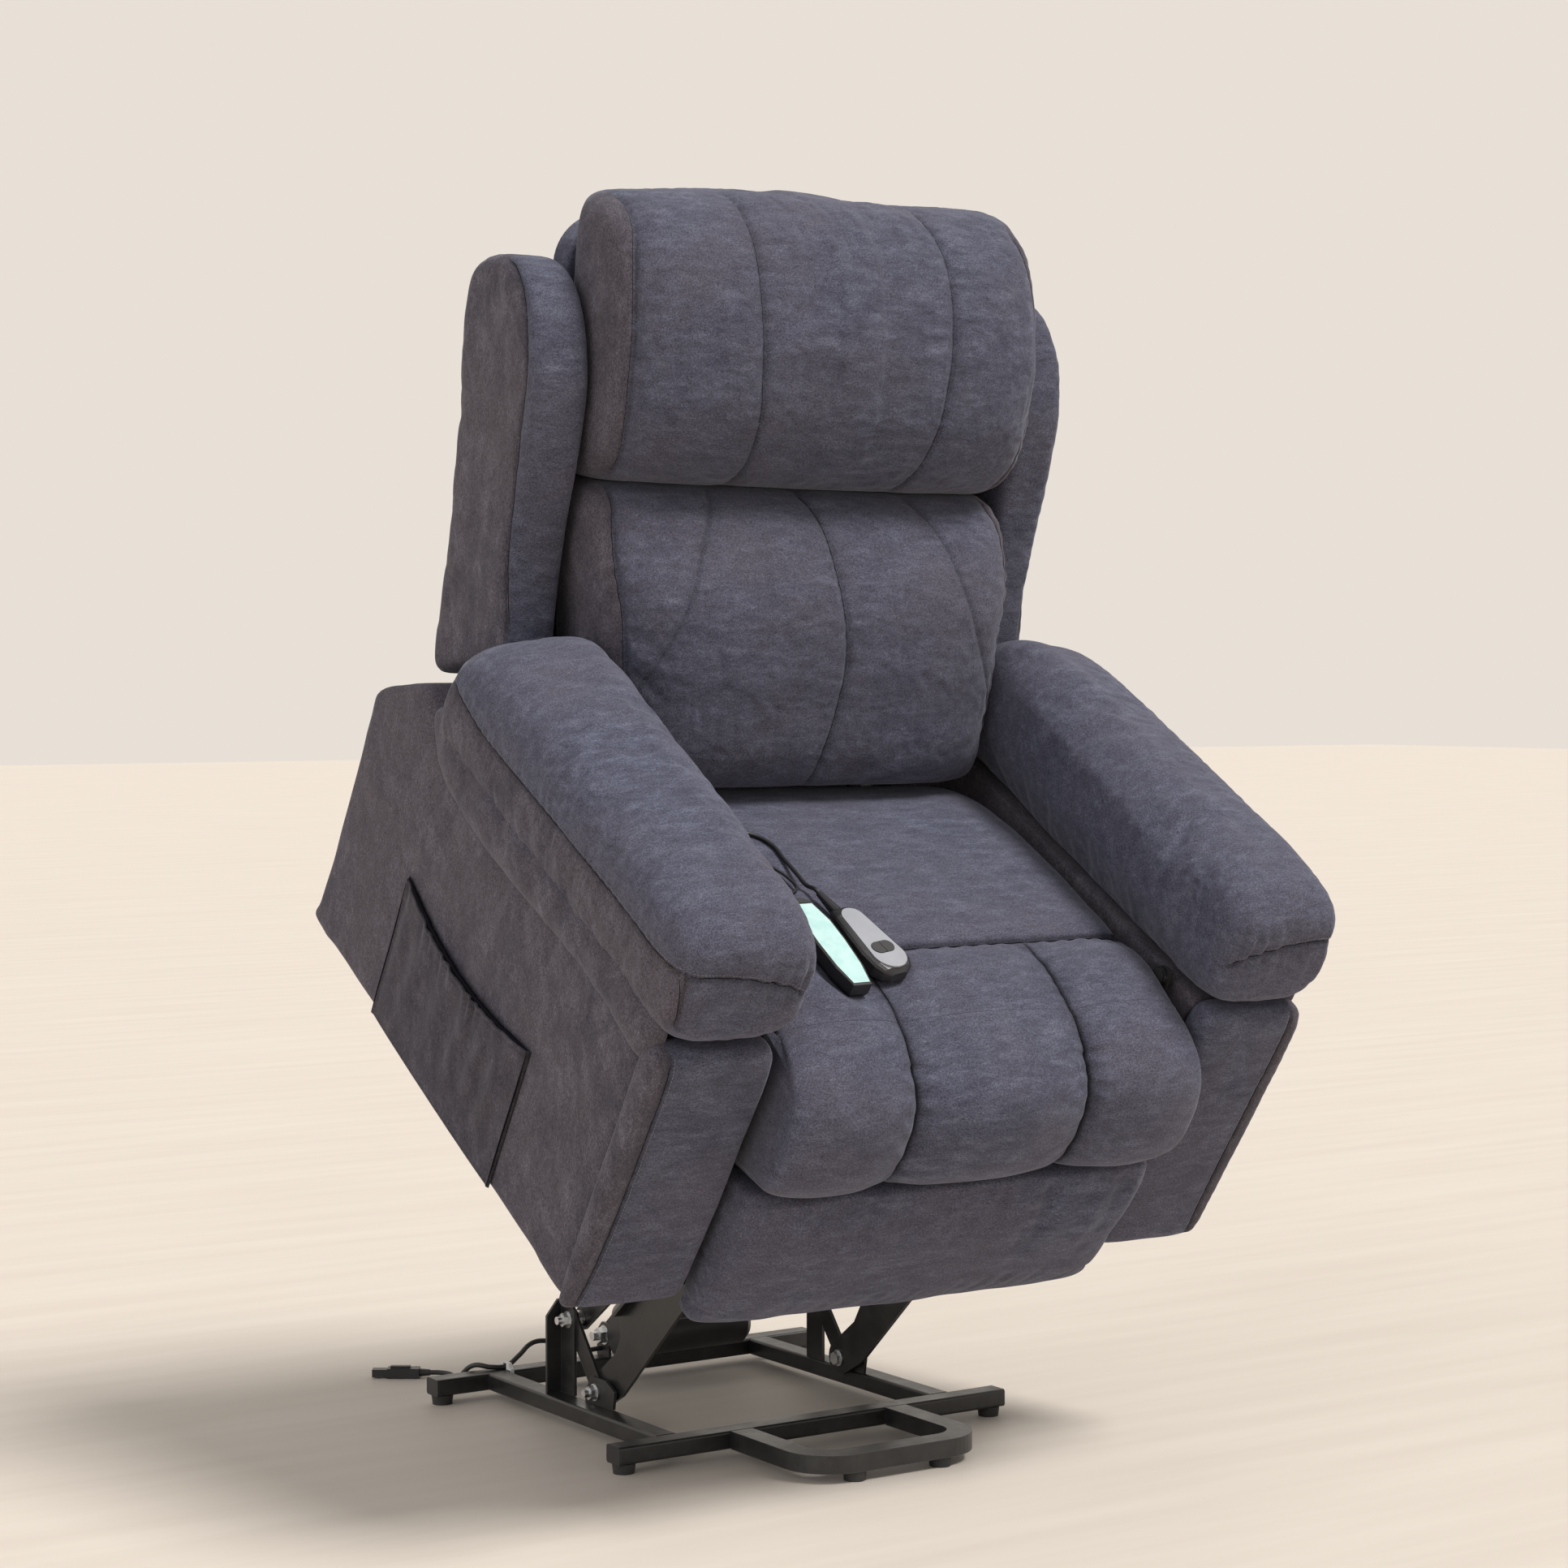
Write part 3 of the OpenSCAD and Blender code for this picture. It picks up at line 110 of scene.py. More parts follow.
def new_material(name, **values):
    m = bpy.data.materials.new(name)
    m.use_nodes = True
    shader = m.node_tree.nodes["Principled BSDF"]
    dial(shader, **values)
    return m, m.node_tree, shader


def coords(tree, scale=(1, 1, 1), turn=0.0):
    place = add(tree, "ShaderNodeTexCoord")
    mapping = add(tree, "ShaderNodeMapping", Rotation=(turn, 0, 0), Scale=scale)
    tree.links.new(place.outputs["Object"], mapping.inputs["Vector"])
    return mapping.outputs["Vector"]


def noise(tree, vector, scale, detail=3.0, rough=0.6):
    n = add(tree, "ShaderNodeTexNoise", Scale=scale, Detail=detail, Roughness=rough)
    tree.links.new(vector, n.inputs["Vector"])
    return n.outputs["Fac"]


def ramp(tree, fac, *stops, to=None):
    """Colour ramp; a number stands for that grey, and to is a socket that takes the result."""
    r = add(tree, "ShaderNodeValToRGB")
    while len(r.color_ramp.elements) < len(stops):
        r.color_ramp.elements.new(0.5)
    for e, (at, c) in zip(r.color_ramp.elements, stops):
        e.position = at
        e.color = (*(c if isinstance(c, tuple) else (c, c, c)), 1)
    tree.links.new(fac, r.inputs["Fac"])
    if to is not None:
        tree.links.new(r.outputs["Color"], to)
    return r.outputs["Color"]


def mix(tree, fac, a, b, kind="MIX"):
    m = add(tree, "ShaderNodeMix", data_type="RGBA", blend_type=kind)
    for socket, value in (("Factor", fac), ("A", a), ("B", b)):
        s = [i for i in m.inputs if i.name == socket and i.type == ("VALUE" if socket == "Factor" else "RGBA")][0]
        if isinstance(value, (int, float, tuple)):
            s.default_value = value if socket == "Factor" else (*value, 1)
        else:
            tree.links.new(value, s)
    return [o for o in m.outputs if o.type == "RGBA"][0]


def bump(tree, shader, height, strength, distance, normal=None):
    b = add(tree, "ShaderNodeBump", Strength=strength, Distance=distance)
    tree.links.new(height, b.inputs["Height"])
    if normal is not None:
        tree.links.new(normal, b.inputs["Normal"])
    tree.links.new(b.outputs["Normal"], shader.inputs["Normal"])
    return b.outputs["Normal"]


def srgb(r, g, b):
    return tuple((c / 255 / 12.92) if c <= 10 else ((c / 255 + 0.055) / 1.055) ** 2.4 for c in (r, g, b))


def nap(name, dark, mid, light, warm, streak, turn=0.0):
    """Brushed chenille: a fine combed grain over cloudy patches, with painted shade where the cloth turns into a seam
    or crease.
    """
    m, t, s = new_material(name, Roughness=0.94, Specular_IOR_Level=0.14, Sheen_Weight=0.22, Sheen_Roughness=0.4,
                           Sheen_Tint=(0.74, 0.76, 0.86, 1))
    plain = coords(t)
    run = coords(t, streak, turn)
    blotch = coords(t, tuple(c ** 0.75 for c in streak), turn)
    fibres = noise(t, run, 4.2, 3.0, 0.65)
    grain = noise(t, plain, 620.0, 2.0, 0.7)
    # the crease attribute is painted shade in seams and creases; the last ramp below multiplies it into the colour
    crease = add(t, "ShaderNodeAttribute", attribute_name="crease")
    base = ramp(t, noise(t, blotch, 1.0, 6.0, 0.72), (0.30, dark), (0.50, mid), (0.70, light))
    warmth = ramp(t, noise(t, plain, 5.5, 4.0, 0.6), (0.38, 0.0), (0.64, 1.0))
    base = mix(t, warmth, base, mix(t, 0.55, base, warm))
    for share, fac, low, high in ((0.8, noise(t, run, 1.0, 4.0, 0.65), (0.30, 0.88), (0.70, 1.12)),
                                  (1.0, fibres, (0.32, 0.72), (0.68, 1.30)),
                                  (1.0, grain, (0.34, 0.62), (0.66, 1.40)),
                                  (1.0, crease.outputs["Fac"], (0.0, 1.0), (1.0, 0.28))):
        base = mix(t, share, base, ramp(t, fac, low, high), "MULTIPLY")
    t.links.new(base, s.inputs["Base Color"])
    bump(t, s, fibres, 0.25, 0.0008, bump(t, s, grain, 0.3, 0.0006))
    return m


def flecked(name, low, high, scale, strength, distance, **values):
    """One fine noise for colour and relief."""
    m, t, s = new_material(name, **values)
    fleck = noise(t, coords(t), scale, 1.0)
    ramp(t, fleck, (0.3, low), (0.7, high), to=s.inputs["Base Color"])
    bump(t, s, fleck, strength, distance)
    return m


def plastic(name, low, high, rough, grain=1400.0, depth=0.0003):
    m, t, s = new_material(name)
    fine = noise(t, coords(t), grain, 2.0, 0.6)
    ramp(t, noise(t, coords(t), 18.0, 3.0), (0.3, low), (0.7, high), to=s.inputs["Base Color"])
    ramp(t, fine, (0.3, rough - 0.06), (0.7, rough + 0.08), to=s.inputs["Roughness"])
    bump(t, s, fine, 0.3, depth)
    return m


def painted_steel():
    """Satin black powder coat: fine orange peel, a little dust on top, and a painted highlight that lightens the edges.
    """
    m, t, s = new_material("powder_coat")
    v = coords(t)
    dust = noise(t, v, 30.0, 5.0, 0.7)
    base = ramp(t, dust, (0.4, (0.012, 0.012, 0.013)), (0.75, (0.03, 0.029, 0.028)))
    # painted highlight on the edges: where the bevel's rounded normal turns away from the true one, the colour is
    # lightened
    edge = add(t, "ShaderNodeBevel", samples=4, Radius=0.0016)
    geometry = add(t, "ShaderNodeNewGeometry")
    dot = add(t, "ShaderNodeVectorMath", operation="DOT_PRODUCT")
    t.links.new(edge.outputs["Normal"], dot.inputs[0])
    t.links.new(geometry.outputs["Normal"], dot.inputs[1])
    edge_highlight = ramp(t, dot.outputs["Value"], (0.80, 0.55), (0.985, 0.0))
    t.links.new(mix(t, edge_highlight, base, (0.11, 0.11, 0.115)), s.inputs["Base Color"])
    ramp(t, dust, (0.35, 0.30), (0.75, 0.46), to=s.inputs["Roughness"])
    bump(t, s, noise(t, v, 700.0, 2.0, 0.55), 0.25, 0.0004)
    return m


def metal(name, tone, rough, spots):
    m, t, s = new_material(name, Metallic=1.0)
    v = coords(t)
    mottle = noise(t, v, spots, 4.0, 0.65)
    ramp(t, mottle, (0.35, tuple(c * 0.78 for c in tone)), (0.68, tone), to=s.inputs["Base Color"])
    ramp(t, mottle, (0.3, rough), (0.7, rough + 0.16), to=s.inputs["Roughness"])
    bump(t, s, noise(t, v, 1500.0, 2.0), 0.15, 0.0002)
    return m


def woven(name, dark, light):
    m, t, s = new_material(name, Roughness=0.9)
    w = add(t, "ShaderNodeTexWave", Scale=260.0, Distortion=0.6, Detail=1.0, wave_type="BANDS",
            bands_direction="DIAGONAL")
    t.links.new(coords(t), w.inputs["Vector"])
    ramp(t, w.outputs["Fac"], (0.3, dark), (0.7, light), to=s.inputs["Base Color"])
    bump(t, s, w.outputs["Fac"], 0.5, 0.0006)
    return m


def mint_film():
    m, t, s = new_material("mint_film", Roughness=0.22, Coat_Weight=0.4)
    ramp(t, noise(t, coords(t), 60.0, 2.0), (0.3, srgb(178, 220, 216)), (0.7, srgb(202, 236, 232)),
         to=s.inputs["Base Color"])
    bump(t, s, noise(t, coords(t), 300.0, 1.0), 0.05, 0.0002)
    return m


# FRONT and SIDE are one cloth: SIDE's browner tone is painted sheen and shade of the nap on faces turned aside, while
# its streaks running another way are the nap's own grain
FRONT = nap("nap_front", srgb(66, 66, 80), srgb(80, 81, 96), srgb(99, 101, 117), srgb(86, 82, 92), (70, 300, 300))
SIDE = nap("nap_side", srgb(64, 61, 70), srgb(80, 76, 84), srgb(101, 97, 106), srgb(86, 79, 85), (260, 120, 60),
           -TILT - 0.5)
THREAD = flecked("thread", srgb(92, 90, 98), srgb(136, 134, 142), 2200.0, 0.4, 0.0004, Roughness=0.7)
# seam shadow: near-black cloth for the thin tubes that paint the shadow in seams and joints
SEAM_SHADOW = flecked("seam_shadow", srgb(20, 19, 23), srgb(34, 32, 38), 1500.0, 0.2, 0.0003, Roughness=1.0,
               Specular_IOR_Level=0.0)
PAINT = painted_steel()
ZINC = metal("zinc_plate", (0.74, 0.76, 0.78), 0.26, 120.0)
CHROME = metal("chrome", (0.86, 0.87, 0.88), 0.08, 40.0)
CASE = plastic("black_case", (0.012, 0.012, 0.014), (0.022, 0.022, 0.025), 0.38)
RUBBER = plastic("rubber_foot", (0.018, 0.018, 0.019), (0.04, 0.039, 0.038), 0.72, 500.0, 0.0008)
CORD = plastic("cord_jacket", (0.012, 0.012, 0.013), (0.02, 0.02, 0.022), 0.45, 900.0, 0.0003)
WHITE = plastic("white_nylon", (0.74, 0.73, 0.70), (0.82, 0.81, 0.78), 0.45)
SILVER = plastic("silver_face", (0.30, 0.31, 0.34), (0.36, 0.37, 0.40), 0.36, 1800.0, 0.0002)
LINING = woven("lining", (0.008, 0.008, 0.009), (0.022, 0.022, 0.024))
WEB = woven("webbing", (0.02, 0.02, 0.022), (0.06, 0.06, 0.065))
MINT = mint_film()

# ---- cords


def lengths(q):
    """Length along a line up to each of its points."""
    return np.concatenate([[0], np.cumsum(np.linalg.norm(np.diff(q, axis=0), axis=1))])


def spline(name, pts, d):
    c = tuned(bpy.data.curves.new(name, "CURVE"), dimensions="3D", bevel_depth=d / 2 * MM, bevel_resolution=5,
              resolution_u=8, use_fill_caps=True)
    s = c.splines.new("BEZIER")
    s.bezier_points.add(len(pts) - 1)
    for b, p in zip(s.bezier_points, pts):
        tuned(b, co=Vector(p) * MM, handle_left_type="AUTO", handle_right_type="AUTO")
    c.materials.append(CORD)
    return linked(name, c)


POWER_ROUTE = np.array([
    (-36.5, 441, 43), (-60, 441, 43), (-80, 438, 48), (-101, 437, 56), (-122, 437, 63), (-143, 437, 62),
    (-162, 437, 48), (-180, 437, 37.2), (-200, 441, 37.2), (-218, 455, 39), (-228, 470, 25), (-233, 486, 9),
    (-230, 508, 3.6), (-215, 530, 3.6), (-198, 548, 3.7), (-194, 562, 5), (-203, 573, 6.6),
    (-215, 581, 7)]) - (0, BASE_SHIFT, 0)
HANDSET_ROUTE = in_chair([
    (-270.4, -379, 205), (-279, -379, 205), (-286, -379, 225), (-285, -379, 290), (-283, -379, 340),
    (-274, -379, 362), (-252, -379, 370), (-221, -379, 374), (-160, -380, 375.6), (-130, -388, 375.6),
    (-117.7, -408.5, 377), (-118.7, -444.5, 379), (-122.7, -480.5, 383), (-126.2, -508.5, 386.5),
    (-126, -524.3, 392.1), (-124.8, -530.3, 391.5)])
MASSAGE_ROUTE = in_chair([
    (-270.4, -414, 205), (-278, -414, 205), (-284, -414, 215), (-283, -414, 335), (-275, -414, 362),
    (-252, -414, 371), (-215, -416, 376), (-160.7, -431.5, 378), (-142.7, -460.5, 379), (-134.7, -485.5, 380),
    (-137.7, -506.5, 382), (-153.7, -520.5, 384.5), (-163.7, -537.1, 387.7)])

for name, node, route, d, body, end, stiff, tip in (
        ("power_lead", "power_cord", POWER_ROUTE, 6.4, "base", "connector", "medium", "power_connector"),
        ("handset_lead", "handset_cord", HANDSET_ROUTE, 5.0, "seat_body", "tool", "limp", "handset_shell"),
        ("massage_lead", "massage_cord", MASSAGE_ROUTE, 3.6, "seat_body", "tool", "limp", "massage_handset")):
    lead = spline(name, route, d)
    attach(lead, body)
    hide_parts(node)

# ---- mesh tools


def mesh_object(name, verts, faces):
    me = bpy.data.meshes.new(name)
    me.from_pydata([tuple(v) for v in np.asarray(verts) * MM], [], [tuple(int(i) for i in f) for f in faces])
    me.update()
    return linked(name, me)


def ring(c, u, v, a, b, n, k=72):
    """Superellipse round c, a wide along u and b along v; n squares it off."""
    t = np.linspace(0, 2 * math.pi, k, endpoint=False)
    p, q = (np.sign(w) * np.abs(w) ** (2 / n) for w in (np.cos(t), np.sin(t)))
    return np.asarray(c) + np.outer(p * a, u) + np.outer(q * b, v)


def pchip(x, y, at):
    """Monotone cubic through the rows of y at x."""
    h = np.diff(x)[:, None]
    s = np.diff(y, axis=0) / h
    m = np.zeros_like(y)
    m[0], m[-1] = s[0], s[-1]
    w1, w2 = 2 * h[1:] + h[:-1], h[1:] + 2 * h[:-1]
    with np.errstate(divide="ignore", invalid="ignore"):
        m[1:-1] = np.where(s[:-1] * s[1:] > 0, (w1 + w2) / (w1 / s[:-1] + w2 / s[1:]), 0)
    i = np.clip(np.searchsorted(x, at, side="right") - 1, 0, len(x) - 2)
    t = ((at - x[i]) / (x[i + 1] - x[i]))[:, None]
    return ((2 * t**3 - 3 * t**2 + 1) * y[i] + (t**3 - 2 * t**2 + t) * h[i] * m[i]
            + (-2 * t**3 + 3 * t**2) * y[i + 1] + (t**3 - t**2) * h[i] * m[i + 1])


def skin(rings):
    """Closed surface through rings of equal length, with fan ends."""
    k, n = len(rings[0]), len(rings)
    pts = np.concatenate(list(rings) + [rings[0].mean(0)[None], rings[-1].mean(0)[None]])
    faces = [(j * k + i, j * k + (i + 1) % k, (j + 1) * k + (i + 1) % k, (j + 1) * k + i)
             for j in range(n - 1) for i in range(k)]
    faces += [(n * k, (i + 1) % k, i) for i in range(k)]
    faces += [(n * k + 1, (n - 1) * k + i, (n - 1) * k + (i + 1) % k) for i in range(k)]
    return pts, faces


def rows_between(rows, count):
    """Dense rows between key rows whose first number is the station."""
    r = np.asarray(rows, float)
    at = np.interp(np.linspace(0, len(r) - 1, count), np.arange(len(r)), r[:, 0])
    return np.column_stack([at, pchip(r[:, 0], r[:, 1:], at)])


def block(rows, x=0.0, count=120, level=False):
    """Sections across the chair as rows of f, wide, low, high, n; level ones as rows of h, wide, rear, front, n."""
    return skin([ring((x, -(a + b) / 2, at) if level else (x, -at, (a + b) / 2), (0, 1, 0) if level else (0, 0, 1),
                      (1, 0, 0), (b - a) / 2, w / 2, n) for at, w, a, b, n in rows_between(rows, count)])


def unit(v):
    return v / np.linalg.norm(v, axis=1)[:, None]


def inset(poly, d):
    t = unit(np.roll(poly, -1, axis=0) - np.roll(poly, 1, axis=0))
    area = 0.5 * np.sum(poly[:, 0] * np.roll(poly[:, 1], -1) - np.roll(poly[:, 0], -1) * poly[:, 1])
    return poly + np.column_stack([-t[:, 1], t[:, 0]]) * (d if area > 0 else -d)


def slab(outline, lo, hi, r, r2, axis):
    """Padded board from lo to hi along an axis, with rims of radius r and r2; the outline is f, h or x, h."""
    steps = np.linspace(0, math.pi / 2, 7)
    rings = [(lo + r * (1 - math.cos(a)), inset(outline, r * (1 - math.sin(a)))) for a in steps]
    rings += [(hi - r2 * (1 - math.cos(a)), inset(outline, r2 * (1 - math.sin(a)))) for a in reversed(steps)]
    return skin([np.insert(q * ((1, 1) if axis else (-1, 1)), axis, at, axis=1) for at, q in rings])


def evaluated(o):
    deps = bpy.context.evaluated_depsgraph_get()
    deps.update()
    return bpy.data.meshes.new_from_object(o.evaluated_get(deps), depsgraph=deps)


def modify(o, kind, **values):
    """Adds a modifier and applies it."""
    tuned(o.modifiers.new(kind, kind), **values)
    new, old = evaluated(o), o.data
    o.modifiers.clear()
    o.data = new
    new.name = old.name
    bpy.data.meshes.remove(old)


def read(items, what):
    out = np.empty(len(items) * 3)
    items.foreach_get(what, out)
    return out.reshape(-1, 3)


def points(o):
    return read(o.data.vertices, "co") / MM


def put(o, p):
    o.data.vertices.foreach_set("co", (np.asarray(p) * MM).ravel())
    o.data.update()


def soft(name, block, voxel, smooth=4, turned=False):
    """A block remeshed into even cells; turned is for one whose faces look inwards."""
    o = mesh_object(name, *block)
    if turned:
        o.data.flip_normals()
    modify(o, "REMESH", mode="VOXEL", voxel_size=voxel * MM)
    modify(o, "SMOOTH", factor=0.5, iterations=smooth)
    return o


def mirror(o):
    put(o, points(o) * (-1, 1, 1))
    o.data.flip_normals()


def swell(o, pins, cap, slack):
    """Cloth under pressure; pins gives each point's hold from 0 to 1."""
    start, frames = points(o), 14
    group = o.vertex_groups.new(name="pins")
    for level in (0.25, 0.5, 0.75, 1.0):
        ids = np.nonzero((pins > level - 0.25) & (pins <= level))[0]
        group.add([int(i) for i in ids], level, "REPLACE")
    m = o.modifiers.new("cloth", "CLOTH")
    tuned(m.settings, quality=4, mass=0.3, tension_stiffness=15, compression_stiffness=15, shear_stiffness=5,
          bending_stiffness=0.5, use_pressure=True, uniform_pressure_force=4.0, shrink_min=-slack,
          vertex_group_mass="pins")
    m.settings.effector_weights.gravity = 0
    m.collision_settings.use_collision = False
    m.point_cache.frame_start, m.point_cache.frame_end = 1, frames
    for f in range(1, frames + 1):
        scene.frame_set(f)
    end = evaluated(o)
    move = read(end.vertices, "co") / MM - start
    o.modifiers.clear()
    o.vertex_groups.clear()
    scene.frame_set(1)
    bpy.data.meshes.remove(end)
    size = np.linalg.norm(move, axis=1)
    keep = np.minimum(1, cap / np.maximum(size, 1e-6)) * (1 - np.clip(pins, 0, 1) * 0.98)
    put(o, start + move * keep[:, None])


def hash3(i, j, k, seed):
    n = (i * 374761393 + j * 668265263 + k * 1442695041 + seed * 974634777) & 0xFFFFFFFF
    n = ((n ^ (n >> 13)) * 1274126177) & 0xFFFFFFFF
    return ((n ^ (n >> 16)) & 0xFFFF) / 32767.5 - 1


def lumps(p, size, seed=1):
    """Smooth value noise from -1 to 1 with cells of the given size."""
    q = np.asarray(p) / size + 1000.0
    c = np.floor(q).astype(np.int64)
    t = q - c
    t = t * t * (3 - 2 * t)
    out = 0
    for corner in np.ndindex(2, 2, 2):
        x, y, z = (t[:, i] if corner[i] else 1 - t[:, i] for i in range(3))
        out = out + x * y * z * hash3(*(c[:, i] + corner[i] for i in range(3)), seed)
    return out


# ---- lines on a surface

FROM_RIGHT, FROM_LEFT, FROM_FRONT, FROM_ABOVE = (0, -1), (0, 1), (1, -1), (2, 1)      # axis and side
OUTSIDE = 1500       # a start outside every piece
FAR = 1e3            # distance given to points that a line doesn't reach


def catmull(q, n):
    """Points on a Catmull-Rom line; the first and last of q only steer it."""
    t = np.linspace(0, 1, n, endpoint=False)[:, None]
    return np.concatenate([
        0.5 * (2 * b + (c - a) * t + (2 * a - 5 * b + 4 * c - d) * t**2 + (3 * b - a - 3 * c + d) * t**3)
        for a, b, c, d in zip(q, q[1:], q[2:], q[3:])])


def resample(q, count, closed=False):
    if closed:
        q = np.concatenate([q, q[:1]])
    s = lengths(q)
    at = np.linspace(0, s[-1], count, endpoint=not closed)
    return np.column_stack([np.interp(at, s, c) for c in q.T])


def evenly(q, step):
    return resample(q, max(2, int(round(lengths(q)[-1] / step)) + 1))


def curve_through(pts, step=3.0):
    """Catmull-Rom line through points, spaced evenly."""
    p = np.asarray(pts, float)
    q = np.concatenate([[2 * p[0] - p[1]], p, [2 * p[-1] - p[-2]]])
    return evenly(np.concatenate([catmull(q, 24), p[-1:]]), step)


def closed_curve(pts, count):
    p = np.asarray(pts, float)
    return resample(catmull(np.concatenate([p[-1:], p, p[:2]]), 16), count, closed=True)


def mirrored(line):
    return [(-x, h) for x, h in line]


def tree_of(o):
    return BVHTree.FromObject(o, bpy.context.evaluated_depsgraph_get())


def laid(tree, line, view):
    """Places and normals of a line of f, h (or x, h from the front; x, f from above) dropped on the surface."""
    axis, sign = view
    p = np.insert(np.asarray(line, float), axis, 0.0, axis=1)
    if view != FROM_FRONT:
        p[:, 1] *= -1
    d = np.zeros(3)
    d[axis] = -sign
    hits = []
    for q in curve_through(p):
        q[axis] = sign * OUTSIDE
        hit, n, _, _ = tree.ray_cast(Vector(q * MM), Vector(d))
        if hit is not None:
            hits.append((np.array(hit) / MM, np.array(n)))
    pts, nor = zip(*hits)
    return np.array(pts), np.array(nor)


def near(p, line):
    """Distance of each point to a line, place along it and the line's length."""
    pts = line[0]
    lo, hi = pts.min(0) - 90, pts.max(0) + 90
    ids = np.nonzero(((p > lo) & (p < hi)).all(1))[0]
    dist = np.full(len(p), FAR)
    along = np.zeros(len(p))
    s = lengths(pts)
    tan = np.gradient(pts, axis=0)
    tan /= np.maximum(np.linalg.norm(tan, axis=1), 1e-9)[:, None]
    for a in range(0, len(ids), 20000):
        part = ids[a:a + 20000]
        j = ((p[part][:, None, :] - pts[None]) ** 2).sum(2).argmin(1)
        off = p[part] - pts[j]
        t = np.clip((off * tan[j]).sum(1), -3, 3)
        dist[part] = np.linalg.norm(off - tan[j] * t[:, None], axis=1)
        along[part] = s[j] + t
    return dist, along, s[-1]


def bell(d, w):
    return np.exp(-(d / w) ** 2)


def groove(p, line, depth=3.0, w=3.2, pull=2.0, wide=16.0, pucker=0.7, pitch=17.0):
    """A seam: a narrow groove in a wide hollow, with puckers on both sides."""
    d, s, total = near(p, line)
    wob = s + 5 * lumps(np.column_stack([s, s * 0, s * 0 + 3]), 31.0, 3)
    ends = np.clip(s / 8, 0, 1) * np.clip((total - s) / 8, 0, 1)
    wave = np.sin(2 * math.pi * wob / pitch) * (0.6 + 0.4 * lumps(np.column_stack([s, d, d * 0]), 40.0, 4))
    return (-depth * bell(d, w) * (0.4 + 0.6 * ends) - pull * bell(d, wide)
            + pucker * wave * bell(d - 7, 22.0) * (d < FAR / 10))


def fold(p, line, height, w):
    """A soft ridge (or a crease if height is negative) that fades at both ends."""
    d, s, total = near(p, line)
    return height * np.sin(math.pi * np.clip(s / total, 0, 1)) ** 0.8 * bell(d, w) * (d < FAR / 10)


def shade(o, values):
    """Stores how dark each point is painted, for the cloth's material: mostly painted shade in seams and creases."""
    a = o.data.attributes.get("crease") or o.data.attributes.new("crease", "FLOAT", "POINT")
    old = np.empty(len(o.data.vertices), np.float32)
    a.data.foreach_get("value", old)
    a.data.foreach_set("value", np.maximum(old, np.clip(values, 0, 1)).astype(np.float32))


def dress(o, lines=(), folds=(), undulate=1.1, cell=70.0, seed=5, dusk=1.0):
    """Moves the surface by its seams, folds and slow lumps, along the normals."""
    p, n = points(o), read(o.data.vertices, "normal")
    move = undulate * lumps(p, cell, seed) + 0.45 * undulate * lumps(p, cell * 0.42, seed + 7)
    # dark is painted shade: in the seams and, for creases (folds of negative height), along the crease; dusk scales the
    # seams' part
    dark = np.zeros(len(p))
    for line, values in lines:
        move = move + groove(p, line, **values)
        d = near(p, line)[0]
        dark = np.maximum(dark, dusk * (0.5 * bell(d, 3.0) + 0.2 * bell(d, 11.0)))
    for line, height, w in folds:
        move = move + fold(p, line, height, w)
        if height < 0:
            dark = np.maximum(dark, 0.05 * -height * bell(near(p, line)[0], w * 0.8))
    shade(o, dark)
    put(o, p + n * move[:, None])


def pinned(p, lines, w):
    return np.maximum.reduce([bell(near(p, line)[0], w) for line in lines])


def held(*parts):
    return np.maximum.reduce([np.asarray(part, float) for part in parts])


HEXAGON = np.linspace(0, 2 * math.pi, 6, endpoint=False)


def tube_faces(base, rings):
    """Sides and ends of a six-sided tube whose points start at base."""
    faces = [(base + j * 6 + i, base + j * 6 + (i + 1) % 6, base + (j + 1) * 6 + (i + 1) % 6, base + (j + 1) * 6 + i)
             for j in range(rings - 1) for i in range(6)]
    return faces + [tuple(base + i for i in reversed(range(6))), tuple(base + (rings - 1) * 6 + i for i in range(6))]


def seam_tube(lines, r=0.8, sink=0.3):
    """Thin dark tubes half sunk along lines that lie on a surface: the shadow between two panels."""
    verts, faces = [], []
    for pts, nor in lines:
        tan = unit(np.gradient(pts, axis=0))
        side = unit(np.cross(tan, nor))
        up = np.cross(side, tan)
        faces += tube_faces(len(verts), len(pts))
        for i, p in enumerate(pts):
            k = r * min(1.0, 0.25 + 0.2 * min(i, len(pts) - 1 - i))
            verts += [p - nor[i] * sink + side[i] * k * math.cos(h) + up[i] * k * math.sin(h) for h in HEXAGON]
    return np.array(verts), faces


def stitches(lines, pitch=4.2, length=3.1, r=0.42):
    """Threads as short six-sided capsules along lines that lie on a surface."""
    verts, faces = [], []
    stations = ((-0.5, 0.35), (-0.36, 0.9), (0, 1.0), (0.36, 0.9), (0.5, 0.35))
    for pts, nor in lines:
        q = evenly(pts, pitch)
        idx = np.clip(np.searchsorted(np.linspace(0, 1, len(nor)), np.linspace(0, 1, len(q))), 0, len(nor) - 1)
        for p, t, n in zip(q, unit(np.gradient(q, axis=0)), nor[idx]):
            b = np.cross(t, n)
            b /= np.linalg.norm(b)
            n2 = np.cross(b, t)
            faces += tube_faces(len(verts), len(stations))
            for s, k in stations:
                arch = 0.5 * r * (1 - 4 * s * s)
                verts += [p + t * s * length + n2 * (arch + r * k * math.sin(h)) + b * r * k * math.cos(h)
                          for h in HEXAGON]
    return np.array(verts), faces


def face_centres(o):
    return read(o.data.polygons, "center") / MM


def beyond(line):
    """Tells the faces farther from the middle than a line of x, h."""
    x, h = np.array(sorted(line, key=lambda q: q[1]), float).T
    return lambda c: np.abs(c[:, 0]) > np.interp(c[:, 2], h, np.abs(x))


